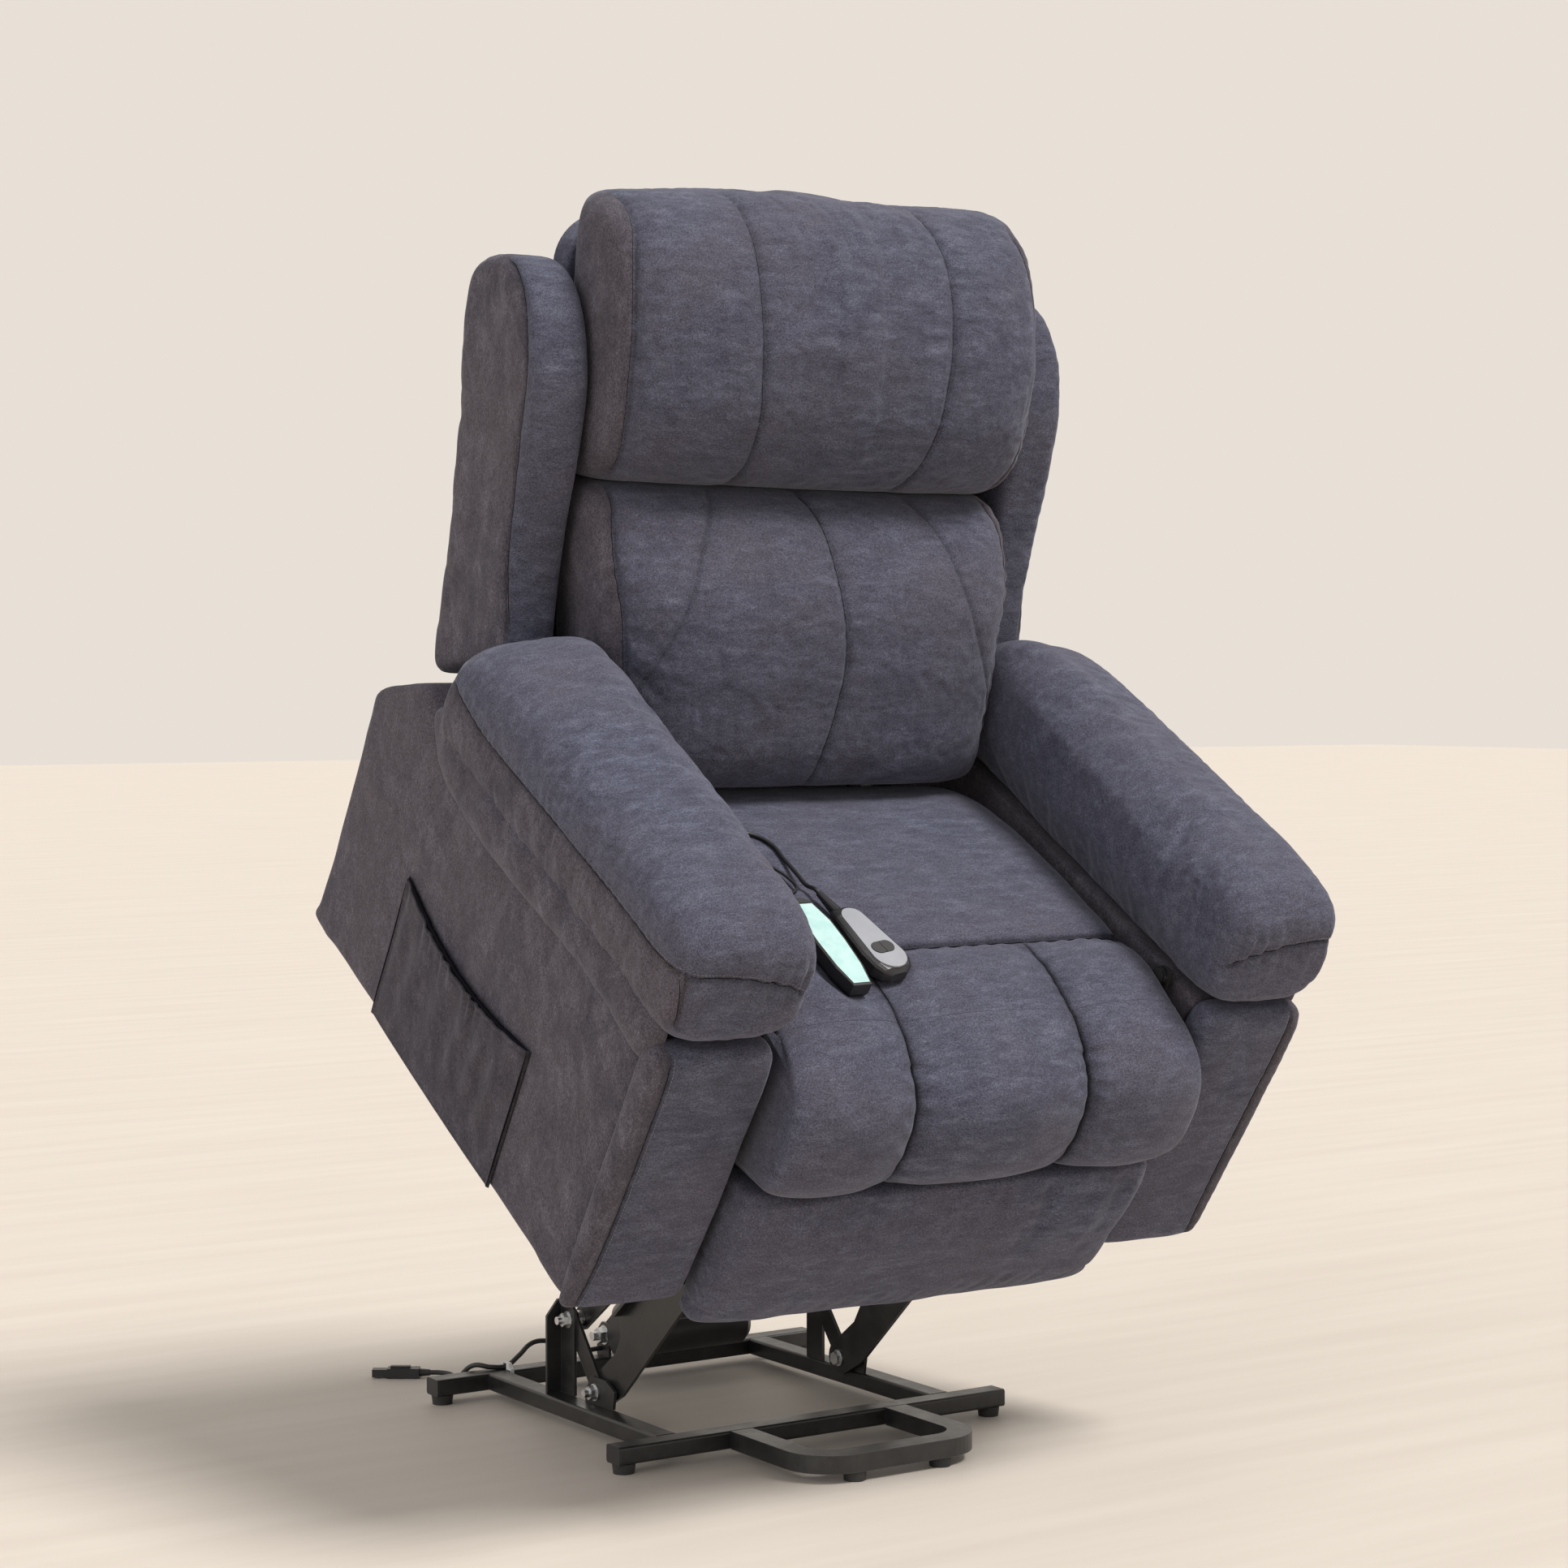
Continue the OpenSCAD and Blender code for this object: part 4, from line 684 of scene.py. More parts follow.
def finish_piece(o, body, material, node=None, other=None):
    o.data.materials.clear()
    o.data.materials.append(material)
    if other is not None:
        o.data.materials.append(other[0])
        o.data.polygons.foreach_set("material_index", np.asarray(other[1], np.int32))
    put(o, (in_back if body == "backrest" else in_chair)(points(o)))
    o.data.polygons.foreach_set("use_smooth", np.ones(len(o.data.polygons), bool))
    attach(o, body)
    if node:
        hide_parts(node)


def trim(name, kind, lines, body, flip=False, **values):
    """Seam shadows or stitches as one piece."""
    o = mesh_object(name, *(seam_tube if kind is SEAM_SHADOW else stitches)(lines, **values))
    if flip:
        mirror(o)
    finish_piece(o, body, kind)


def upholster(name, body, node, fill, block, voxel, smooth=4, turned=False, lift=None, hold=None, cap=0, slack=0,
              split=True, seams=(), folds=(), dark=None, trims=(), material=FRONT, other=None, flip=False, **dressing):
    """One upholstered piece, from its block to the finished mesh on its body.

    lift(p) raises its points; hold(p, seams) pins them while it swells; seams are (line, view, groove's values) and
    folds (view, folds); dark(p) paints shade on it; trims are (name, kind, which seams, their shift, values), and one
    of the seam-shadow kind is painted shadow along its seams; other is a second material and what tells its faces
    from their centres; flip makes the left piece from the right one.
    """
    o = soft(name, block, voxel, smooth, turned)

    def lay(shift=(0, 0)):
        tree = tree_of(o)
        return [laid(tree, [(a + shift[0], b + shift[1]) for a, b in line], view) for line, view, _ in seams]

    p = points(o)
    if lift:
        p[:, 2] += lift(p)
        put(o, p)
    if hold:
        swell(o, hold(p, lay()), cap, slack)
    if split:
        modify(o, "SUBSURF", levels=1, render_levels=1)
    tree = tree_of(o)
    dress(o, [(line, values) for line, (_, _, values) in zip(lay(), seams)],
          [(laid(tree, line, view), height, w) for view, group in folds for line, height, w in group], **dressing)
    if dark:
        shade(o, dark(points(o)))
    for title, kind, which, shift, values in trims:
        lines = lay(shift)
        trim(title, kind, [lines[i] for i in which], body, flip, **values)
    faces = (other[0], other[1](face_centres(o))) if other else None
    if flip:
        mirror(o)
    finish_piece(o, body, material, node, faces)


STILL = (0, 0)


# ---- head cushion

# Seams and folds of the back are x, u; each fold is its line, height and width.
HEAD_ROWS = [
    (597.8, 566, 66, 196, 4.4), (604, 586, 61, 214, 4.3), (612, 597, 60.5, 230, 4.2), (642, 602, 60.5, 262, 4.1),
    (700, 606, 60.5, 284, 4), (760, 606, 60.5, 286, 4), (800, 604, 60.5, 280, 4), (850, 602, 60.5, 264, 3.9),
    (893, 597, 60.5, 240, 3.8), (920, 582, 62, 210, 3.6), (934, 560, 66, 184, 3.4), (940.5, 526, 76, 156, 3.2)]
HEAD_SEAM = [(118, 602), (123, 645), (130, 705), (135, 780), (137, 850), (135, 905), (130, 936)]
HEAD_BOXING = [(276, 606), (286, 680), (288, 780), (284, 860), (270, 920)]
HEAD_LINES = [mirrored(HEAD_SEAM), HEAD_SEAM, mirrored(HEAD_BOXING), HEAD_BOXING]
HEAD_PLEATS = [
    ([(-78, 937), (-60, 884)], -2.2, 6), ([(-45, 938), (-27, 868)], 2.2, 8), ([(-18, 939), (-5, 882)], -2.0, 6),
    ([(12, 938), (22, 888)], 1.9, 7), ([(46, 938), (50, 900)], -1.7, 6), ([(80, 937), (86, 880)], 1.6, 9),
    ([(-60, 612), (-30, 640)], 1.4, 9), ([(60, 610), (92, 634)], -1.6, 9), ([(-282, 700), (-200, 690)], 1.0, 14),
    ([(-284, 640), (-190, 652)], -1.2, 12)]
BACK_FACE = -64      # y in front of which a back cushion is free to swell


def head_lift(p):
    left, right = np.clip((-p[:, 0] - 90) / 180, 0, 1), np.clip((p[:, 0] - 140) / 130, 0, 1)
    return np.clip((p[:, 2] - 850) / 90, 0, 1) * (5 * right - 15 * left)


upholster(
    "head_pillow", "backrest", "head_cushion", 0.75, block(HEAD_ROWS, 0, 90, True), 6.0, lift=head_lift,
    hold=lambda p, lines: held(pinned(p, lines, 7.0), p[:, 1] > BACK_FACE, p[:, 2] < 602,
                               0.85 * ((np.abs(p[:, 0]) > 282) & (p[:, 1] > -200))), cap=15, slack=0.015,
    seams=[(line, FROM_FRONT, dict(pull=2.6, pucker=0.45)) for line in HEAD_LINES],
    # the seam trim is dark tubes of painted shadow along the four seams
    folds=[(FROM_FRONT, HEAD_PLEATS)], trims=[("head_seam_shadows", SEAM_SHADOW, range(4), STILL, dict(r=0.45))],
    other=(SIDE, beyond(HEAD_BOXING)), undulate=1.4, seed=11, dusk=0.6)

# ---- lumbar cushion

LUMBAR_ROWS = [
    (245.5, 518, 68, 248, 4.6), (250, 536, 62, 262, 4.5), (262, 547, 60.5, 277, 4.3), (300, 554, 60.5, 290, 4.2),
    (350, 560, 60.5, 294, 4.1), (401, 566, 60.5, 297, 4.1), (446, 576, 60.5, 295, 4.1), (480, 588, 60.5, 288, 4.1),
    (520, 596, 60.5, 272, 4.1), (560, 596, 60.5, 248, 4.2), (583, 588, 61, 222, 4.3), (596.4, 566, 68, 192, 4.4)]
LUMBAR_CENTRE = [(-14, 594), (-4, 560), (4, 511), (14, 450), (18, 401), (12, 340), (2, 290), (-3, 254)]
LUMBAR_FAN = [(143, 592), (158, 570), (175, 540), (190, 500), (206, 460), (225, 420), (246, 380), (264, 350)]
LUMBAR_BOXING = [(270, 590), (280, 550), (281, 500), (272, 440), (266, 380), (262, 310)]
FINE, GATHERED = dict(depth=1.6, w=3.0, pull=1.4, pucker=0.35), dict(pucker=1.2, pitch=24)
LUMBAR_LINES = [
    (LUMBAR_CENTRE, FROM_FRONT, dict(pull=2.2, pucker=0.4)), (mirrored(LUMBAR_FAN), FROM_FRONT, FINE),
    (LUMBAR_FAN, FROM_FRONT, FINE), (mirrored(LUMBAR_BOXING), FROM_FRONT, GATHERED),
    (LUMBAR_BOXING, FROM_FRONT, GATHERED)]
LUMBAR_FOLDS = [
    ([(-268, 396), (-222, 356)], -3.2, 7), ([(-270, 416), (-226, 386)], 2.2, 8), ([(-268, 432), (-236, 418)], -1.8, 7),
    ([(-268, 585), (-214, 545)], 2.0, 9), ([(-274, 566), (-226, 524)], -1.6, 8), ([(-278, 540), (-240, 506)], 1.4, 8),
    ([(240, 586), (270, 548)], 1.6, 9), ([(200, 300), (246, 322)], 1.6, 11), ([(-60, 588), (-44, 560)], 1.2, 8),
    ([(30, 590), (40, 566)], -1.2, 8), ([(-120, 262), (-96, 286)], -1.6, 9), ([(90, 262), (60, 284)], -1.4, 9)]


upholster(
    "lumbar_pillow", "backrest", "lumbar_cushion", 0.7, block(LUMBAR_ROWS, 0, 90, True), 6.0,
    hold=lambda p, lines: held(pinned(p, lines[:1], 6.0), 0.8 * pinned(p, lines[1:], 6.0), p[:, 1] > BACK_FACE,
                               p[:, 2] > 590, p[:, 2] < 252, 0.85 * ((np.abs(p[:, 0]) > 276) & (p[:, 1] > -200))),
    cap=13, slack=0.015, seams=LUMBAR_LINES, folds=[(FROM_FRONT, LUMBAR_FOLDS)],
    # the seam trims are dark tubes of painted shadow along the seams
    trims=[("lumbar_seam_shadows", SEAM_SHADOW, (0, 3, 4), STILL, dict(r=0.55)),
           ("lumbar_fine_seam_shadows", SEAM_SHADOW, (1, 2), STILL, dict(r=0.3))],
    other=(SIDE, beyond(LUMBAR_BOXING)), undulate=1.5, seed=21, dusk=0.6)

# ---- wings

WING_OUTLINE = [      # v, u
    (0, 347), (0, 480), (0, 620), (0, 740), (4, 792), (16, 820), (40, 836), (70, 842), (96, 842), (118, 836),
    (142, 822), (164, 799), (181, 768), (191, 728), (194, 690), (187, 620), (175, 540), (168, 480), (167, 430),
    (168, 396), (165, 378), (140, 372), (70, 358)]
WING_SEAM = [(96, 838), (120, 828), (142, 808), (156, 780), (165, 744), (169, 700), (167, 620), (162, 540),
             (161, 480), (164, 420)]
WING_FOLDS = [
    ([(60, 832), (66, 780)], 2.0, 8), ([(84, 828), (94, 762)], -1.8, 8), ([(104, 822), (114, 774)], 1.8, 7),
    ([(30, 600), (130, 560)], 1.2, 16), ([(20, 470), (120, 440)], -1.2, 14)]


WING_EDGE = [420, 540, 700, 744, 780, 808, 828, 838], [164, 162, 169, 165, 156, 142, 120, 96]

for side, name in SIDES:
    upholster(
        "wing_pad_" + name, "backrest", "wing_" + name, 0.85,
        slab(closed_curve(WING_OUTLINE, 200), 306.8, 381, 13, 15, 0), 6.0, 3,
        hold=lambda p, lines: held(pinned(p, lines, 5.0), p[:, 0] < 318, p[:, 2] < 392), cap=6, slack=0.01,
        seams=[(WING_SEAM, FROM_LEFT, dict(depth=1.8, w=3.0, pull=1.2, pucker=0.4, pitch=20))],
        # the seam trim is a dark tube of painted shadow along the seam
        folds=[(FROM_LEFT, WING_FOLDS)], trims=[("wing_seam_shadow_" + name, SEAM_SHADOW, [0], STILL, dict(r=0.6))], material=SIDE,
        other=(FRONT, lambda c: (-c[:, 1] > np.interp(c[:, 2], *WING_EDGE)) | (c[:, 0] < 345)), flip=side < 0,
        undulate=1.2, seed=31 + side)

# ---- seat cushion and footrest roll

# The seat's top and the channelled roll that runs on over the footrest are one profile, as (f, h); the seat body
# carries it up to SPLIT and the footrest from there, so that the two meet with a hair's gap.
SPLIT = 729.8
SEAM_F = 609            # the seam between the seat and the roll
CHANNEL_X = 120.0       # the seams between the channels
CHANNEL_COLS = 56       # points across one channel
TOP_H = 340             # what lies higher is the top
PROFILE = [
    (239, 324), (244, 340), (256, 350), (280, 358), (310, 364), (346, 369), (400, 373), (470, 375), (540, 375),
    (580, 374), (598, 371.5), (605, 368.5), (SEAM_F, 363), (613, 368), (621, 373.5), (634, 377.5), (650, 379),
    (672, 378), (695, 373.5), (715, 368.8), (730, 365), (750, 359.5), (768, 352.5), (784, 343), (800, 331),
    (813, 316), (823, 297), (829, 272), (830, 250), (829, 228), (824, 208), (815, 193), (804, 182.5), (794, 176.5)]
UNDER_FRONT = 900       # added to a place's number once the profile turns back under the roll


def profile_part(lo, hi=None):
    """Places on the profile and their outward normals from lo to hi, or to its end."""
    q = curve_through([(0, f, h) for f, h in PROFILE], 3.2)[:, 1:]
    t = unit(np.gradient(q, axis=0))
    number = np.arange(len(q))
    f = np.where(number > np.argmax(q[:, 0]), UNDER_FRONT + number, q[:, 0])
    first, last = np.interp([lo, hi or UNDER_FRONT + len(q) - 1], f, number)
    at = np.concatenate([[first], np.arange(math.ceil(first + 0.3), last - 0.3), [last]])
    return [np.column_stack([np.interp(at, number, c) for c in a.T]) for a in (q, np.column_stack([-t[:, 1], t[:, 0]]))]


def spread(half):
    """Places across, closer together at the channel seams and the edges."""
    u = (1 - np.cos(np.linspace(0, math.pi, CHANNEL_COLS + 1))) / 2
    edges = (half, CHANNEL_X, -CHANNEL_X, -half)
    return np.concatenate([a + (b - a) * u[:-1] for a, b in zip(edges[:-1], edges[1:])] + [[-half]])


def drop(x, half, f, h):
    """How far the surface lies under the crown at each x, for a row at f, h of the profile."""
    deep = float(np.interp(f, [SEAM_F - 2, SEAM_F + 10, 640, 680, 735, 758, 800], [0, 6, 11, 13, 13, 18, 25]))
    if f > 780:
        deep = float(np.interp(h, [176, 190, 215, 330], [12, 21, 26, 25]))
    a = np.abs(x)
    across = (np.clip(x, -CHANNEL_X, CHANNEL_X) + CHANNEL_X) / (2 * CHANNEL_X)
    inner = deep * (1 - np.abs(np.sin(math.pi * across)) ** 0.46)
    t = np.clip((a - CHANNEL_X) / (half - CHANNEL_X), 0, 1)
    rise = np.abs(np.sin(math.pi * t))
    outer = np.where(t < 0.5, deep * (1 - rise ** 0.46), 20 * (1 - rise ** 0.42))
    return np.where(a <= CHANNEL_X, inner, outer)


def crown_rows(q, n, half):
    """The visible surface, one line of points across for each place on the profile, and the painted shade in its seams.
    """
    rows, darks = [], []
    for (f, h), (nf, nh), e in zip(q, n, half):
        x = spread(e)
        p = np.column_stack([x, -(f + 0 * x), h + 0 * x])
        top = h > TOP_H
        off = np.abs(np.abs(x) - CHANNEL_X)
        d = 1.5 * lumps(p, 85.0, 41) + 0.7 * lumps(p, 34.0, 48) - drop(x, e, f, h)
        if f > SEAM_F:
            wave = np.sin(2 * math.pi * (h - f) / 34 + 5 * lumps(p, 60.0, 57))
            d = d + 0.9 * wave * bell(off - 14, 16.0)
        ripple = np.sin(2 * math.pi * x / 26 + 6 * lumps(p, 70.0, 58))
        d = d + 1.1 * bell(f - SEAM_F - 10, 14.0) * top * ripple
        # the handsets' bed, pressed flat
        bed = np.clip(1.35 - np.hypot((x + 134) / 56, (f - 612) / 88), 0, 1) * top
        bed = np.clip(bed / 0.35, 0, 1)
        bed = bed * bed * (3 - 2 * bed)
        flat = 376 - 2 - 0.1 * (f - 600) - 0.5 - h
        d = d * (1 - bed) + flat / max(nh, 0.3) * bed
        rows.append(np.column_stack([x, -(f + nf * d), h + nh * d]))
        # painted shade in the seam across the seat and, past it, in the channel seams
        dark = 0.8 * bell(f - SEAM_F, 4.0) * top + 0 * x
        if f > SEAM_F:
            dark = dark + (0.75 * bell(off, 3.2) + 0.34 * bell(off, 14.0)) * np.clip((f - SEAM_F) / 12, 0, 1)
        darks.append(np.clip(dark, 0, 1))
    return rows, darks


def section_block(name, tops, darks, lows):
    """Closed piece from the visible lines and the (f, h) of the hidden lines behind them."""
    k, m = len(tops[0]), 2 * len(tops[0])
    last = (len(tops) - 1) * m
    rings = [np.concatenate([t, np.column_stack([t[::-1, 0], np.full(k, -f), np.full(k, h)])])
             for t, (f, h) in zip(tops, lows)]
    faces = [(j + i, j + (i + 1) % m, j + m + (i + 1) % m, j + m + i) for j in range(0, last, m) for i in range(m)]
    for i in range(k - 1):
        faces.append((i, m - 1 - i, m - 2 - i, i + 1))
        faces.append((last + i, last + i + 1, last + m - 2 - i, last + m - 1 - i))
    o = mesh_object(name, np.concatenate(rings), faces)
    # the visible points get the painted seam shade, the hidden ones none
    shade(o, np.concatenate([np.concatenate([d, np.zeros(k)]) for d in darks]))
    ends = {frozenset((j + i, j + (i + 1) % m)) for j in (0, last) for i in range(m)}
    a = o.data.attributes.new("sharp_edge", "BOOLEAN", "EDGE")
    a.data.foreach_set("value", [frozenset(e.vertices) in ends for e in o.data.edges])
    return o


def channel_lines(tops, first=0):
    """The two channel seams as lines on the surface, for their shadows."""
    out = []
    for i in (CHANNEL_COLS, 2 * CHANNEL_COLS):
        pts = np.array([t[i] for t in tops[first:]])
        before = [tops[max(first - 1, 0)]] + tops[first:-1]
        nor = np.array([np.cross(t[i + 1] - t[i - 1], b[i] - a[i])
                        for t, a, b in zip(tops[first:], before, tops[first + 1:] + tops[-1:])])
        nor /= np.maximum(np.linalg.norm(nor, axis=1), 1e-9)[:, None]
        if nor[len(nor) // 2, 2] < 0 and pts[0, 2] > 300:
            nor = -nor
        out.append((pts, nor))
    return out


def seat():
    q, n = profile_part(239, SPLIT - 0.2)
    tops, darks = crown_rows(q, n, np.interp(q[:, 0], [239, 246, 262, 300], [258, 268, 274, 275.6]))
    lows = [(f, float(np.interp(f, [239, 246, 256, 676.4, 677], [262, 255, 252.5, 252.5, 349]))) for f, _ in q]
    o = section_block("seat_pad", tops, darks, lows)
    valley = tops[int(np.argmin(np.abs(q[:, 0] - SEAM_F)))][4:-4]
    across = (valley, np.tile([0.0, 0.0, 1.0], (len(valley), 1)))
    past = int(np.argmax(q[:, 0] > SEAM_F)) + 2
    # dark tubes of painted shadow along the seat seam and the channel seams
    trim("seat_seam_shadows", SEAM_SHADOW, [across] + channel_lines(tops, past), "seat_body", r=0.9, sink=0.2)
    finish_piece(o, "seat_body", FRONT, "seat_cushion")


def roll():
    q, n = profile_part(SPLIT + 0.2)
    half = np.where(q[:, 1] < 331, np.interp(q[:, 1], [176, 183, 200, 272, 331], [278, 282, 284.5, 284.5, 282]),
                    np.interp(q[:, 0], [730, 750, 768, 784, 800], [275.6, 276.5, 278, 280, 282]))
    tops, darks = crown_rows(q, n, half)
    turn, steps = int(np.argmax(q[:, 1] < 345)), np.arange(len(q))
    lows = np.column_stack([np.interp(steps, [0, turn / 4, turn], [730, 730, 707.6]),
                            np.interp(steps, [0, turn, len(q) - 1], [350, 344.8, 175.5])])
    o = section_block("channel_pillow", tops, darks, lows)
    # dark tubes of painted shadow along the channel seams
    trim("roll_seam_shadows", SEAM_SHADOW, channel_lines(tops), "footrest", r=0.9, sink=0.2)
    finish_piece(o, "footrest", FRONT, "channel_pad")


seat()
roll()

# ---- arm pads

ARM_ROWS = [
    (169, 124, 382, 458, 2.8), (171, 144, 371, 474, 2.9), (178, 164, 363, 494, 3.1), (194, 174, 361, 509, 3.2),
    (226, 176, 360.5, 520, 3.3), (300, 176, 360.5, 527, 3.3), (450, 176, 360.5, 529, 3.3), (620, 176, 360.5, 528, 3.3),
    (690, 176, 360.5, 525, 3.3), (722, 174, 362, 520, 3.3), (743, 171, 367, 511, 3.3), (756, 165, 373, 500, 3.3),
    (763, 157, 379, 491, 3.3), (767, 146, 386, 481, 3.3), (769, 130, 394, 472, 3.3)]
ARM_TOP_SEAM = [(186, 460), (240, 452), (299, 447), (450, 452), (620, 456), (700, 455), (748, 458)]
ARM_FRONT_SEAM = [(-447, 459), (-420, 461), (-390, 459), (-350, 452), (-315, 443), (-294, 432)]
ARM_MITRE = [(-447, 458), (-445, 430), (-441, 400), (-438, 396)]
ARM_CREASES = [      # from above
    ([(-430, 420), (-380, 455)], -2.0, 9), ([(-405, 470), (-330, 500)], 1.9, 10), ([(-425, 520), (-350, 545)], -1.8, 9),
    ([(-395, 560), (-330, 575)], 1.7, 9), ([(-390, 300), (-340, 330)], -1.4, 12), ([(-410, 340), (-350, 372)], 1.5, 12)]
ARM_FRONT_FOLDS = [
    ([(x, 424 + i % 2 * 3), (x - 3, 446 + 6 * (i % 2)), (x - 2, 478)], (2.8 if i % 2 else -3.0) * (1 - 0.08 * i), 5.0)
    for i, x in enumerate((-298, -306, -315, -325, -336, -349, -364))]
ARM_FRONT_FOLDS += [([(x, 404), (x + 6, 438)], a, 9) for x, a in ((-425, -1.6), (-404, 1.6), (-372, -1.4), (-330, 1.6))]


def side_folds(places, low, high, height, w):
    """Upright folds seen from the side, ridge and crease in turn."""
    return [([(f, low), (f + 16, high)], height if i % 2 else -height, w) for i, f in enumerate(places)]


ARM_SEAMS = [
    (ARM_TOP_SEAM, FROM_RIGHT, dict(depth=1.6, w=2.6, pull=1.8, pucker=0.8, pitch=15)),
    (ARM_FRONT_SEAM, FROM_FRONT, dict(depth=2.2, w=2.8, pull=2.4, pucker=0.8, pitch=13)),
    (ARM_MITRE, FROM_FRONT, dict(depth=2.0, w=2.8, pull=1.6, pucker=0.4))]
ARM_SIDE_FOLDS = side_folds((330, 398, 455, 492, 520, 548, 580, 612, 648, 690), 386, 446, 1.9, 9)
ARM_BAND = [186, 240, 299, 450, 620, 748], [460, 452, 447, 452, 456, 458]


def arm_lift(p):
    rise = np.interp(-p[:, 1], [175, 240, 400, 600, 740], [22, 25, 20, 9, 0]) * np.clip((p[:, 2] - 400) / 120, 0, 1)
    return rise * np.clip((p[:, 0] + 456) / 150, 0, 1) ** 1.2


for side, name in SIDES:
    upholster(
        "arm_pillow_" + name, "seat_body", "arm_pad_" + name, 0.8, block(ARM_ROWS, -368), 6.0, lift=arm_lift,
        hold=lambda p, lines: held(pinned(p, lines[:2], 6.0), p[:, 2] < 372), cap=9, slack=0.02, seams=ARM_SEAMS,
        folds=[(FROM_ABOVE, ARM_CREASES), (FROM_FRONT, ARM_FRONT_FOLDS), (FROM_RIGHT, ARM_SIDE_FOLDS)],
        # the second trim is dark tubes of painted shadow along the seams
        trims=[("arm_stitches_" + name, THREAD, (0, 1), (0, 4.5), {}),
               ("arm_seam_shadows_" + name, SEAM_SHADOW, (0, 1, 2), STILL, dict(r=0.6))],
        other=(SIDE, lambda c: (c[:, 2] < np.interp(-c[:, 1], *ARM_BAND)) & (c[:, 0] < -440)), flip=side > 0,
        undulate=1.5, cell=80, seed=51 + side)

BOLSTER_ROWS = [
    (150, 6, 388, 404, 2.2), (166, 16, 372, 410, 2.2), (196, 27, 352, 412, 2.2), (250, 34, 338, 408, 2.2),
    (350, 37, 332, 404, 2.2), (480, 38, 338, 404, 2.2), (588, 38, 344, 406, 2.2), (680, 37, 336, 404, 2.2),
    (718, 34, 330, 398, 2.2), (734, 26, 334, 392, 2.2), (741, 16, 344, 382, 2.2)]

BOLSTER_FOLDS = side_folds((180, 226, 262, 318, 352, 400, 452, 486, 520, 548, 580, 618, 650, 690), 344, 398, 1.5, 11)

# the soft bolster between each arm pad and side panel
for side, name in SIDES:
    upholster("arm_roll_" + name, "seat_body", None, 0.8, block(BOLSTER_ROWS, -437.5), 4.5, 3, split=False,
              folds=[(FROM_RIGHT, BOLSTER_FOLDS)], material=SIDE, flip=side > 0, undulate=1.6, seed=141 + side)

# ---- arm boxes

BOX_OUTLINE = [
    (2, 2), (120, 1), (240, 0.5), (480, 0.5), (620, 1), (721, 2), (723.5, 60), (724.4, 120), (724.4, 240),
    (723.5, 320), (721, 357), (600, 359.5), (400, 359.5), (250, 359.5), (180, 362), (150, 381), (124, 404),
    (112, 408), (100, 405), (50, 373), (2, 336), (-0.5, 300), (0.5, 200), (0.5, 100), (1, 30)]
BOX_FOLD = [(135, 372), (230, 352), (351, 336), (470, 344), (588, 350), (690, 338), (722, 330)]


def arm_box(side, name):
    o = soft("arm_side_" + name, slab(closed_curve(BOX_OUTLINE, 300), -438.5, -300.5, 7, 4, 0), 7.0, 3)
    modify(o, "SUBSURF", levels=1, render_levels=1)
    p, n = points(o), read(o.data.vertices, "normal")
    f, h = -p[:, 1], p[:, 2]
    edge = np.clip((f - 4) / 40, 0, 1) * np.clip((720 - f) / 60, 0, 1) * np.clip((h - 205) / 30, 0.25, 1)
    low = np.interp(f, [120, 350, 588, 740], [372, 337, 352, 330])
    lip = bell(h - low - 22, 26) * np.clip((f - 130) / 60, 0, 1) * np.clip((722 - f) / 20, 0, 1)
    crown = np.sin(math.pi * np.clip(h / 360, 0, 1)) ** 0.6 * 3.2
    put(o, p + n * (np.clip(-n[:, 0], 0, 1) ** 2 * (edge * crown + 7.0 * lip))[:, None])
    rng = np.random.default_rng(7)
    folds = []
    for i in range(16):
        f0 = 180 + 33 * i + rng.uniform(-8, 8)
        folds.append(([(f0, 300 + rng.uniform(-10, 8)), (f0 + 10 + rng.uniform(-6, 6), 352)],
                      rng.uniform(1.0, 2.1) * (1 if i % 2 else -1), rng.uniform(7, 12)))
    folds += [([(60, 90), (170, 250)], 1.2, 22), ([(560, 60), (660, 220)], -1.2, 22)]
    tree = tree_of(o)
    dress(o, [(laid(tree, BOX_FOLD, FROM_RIGHT), dict(depth=1.6, w=7.0, pull=1.6, wide=20, pucker=0.6, pitch=30))],
          [(laid(tree, line, FROM_RIGHT), height, w) for line, height, w in folds], undulate=1.4, cell=110,
          seed=61 + side, dusk=0.35)
    if side > 0:
        mirror(o)
    finish_piece(o, "seat_body", SIDE, "arm_box_" + name)


for side, name in SIDES:
    arm_box(side, name)

# ---- front panels

PANEL_ROWS = [
    (0.5, 123, 726, 738, 5), (2, 141, 725.6, 744, 5), (9, 152, 725.4, 748.5, 5), (60, 155, 725.4, 754, 5),
    (120, 156, 725.4, 758, 5), (240, 157, 725.4, 764.5, 5), (322, 157, 725.4, 768, 5), (345, 153, 725.6, 767, 5),
    (357, 143, 728, 761, 5), (361, 125, 732, 753, 5)]
PANEL_SEAM = [(-430, 354), (-429, 330), (-428, 240), (-428, 137), (-430, 60), (-433, 10)]
PANEL_FOLDS = [
    ([(-380, 352), (-376, 318)], 1.6, 9), ([(-350, 354), (-352, 330)], -1.4, 8), ([(-330, 250), (-420, 200)], 1.2, 20),
    ([(-410, 120), (-320, 90)], -1.2, 20)]

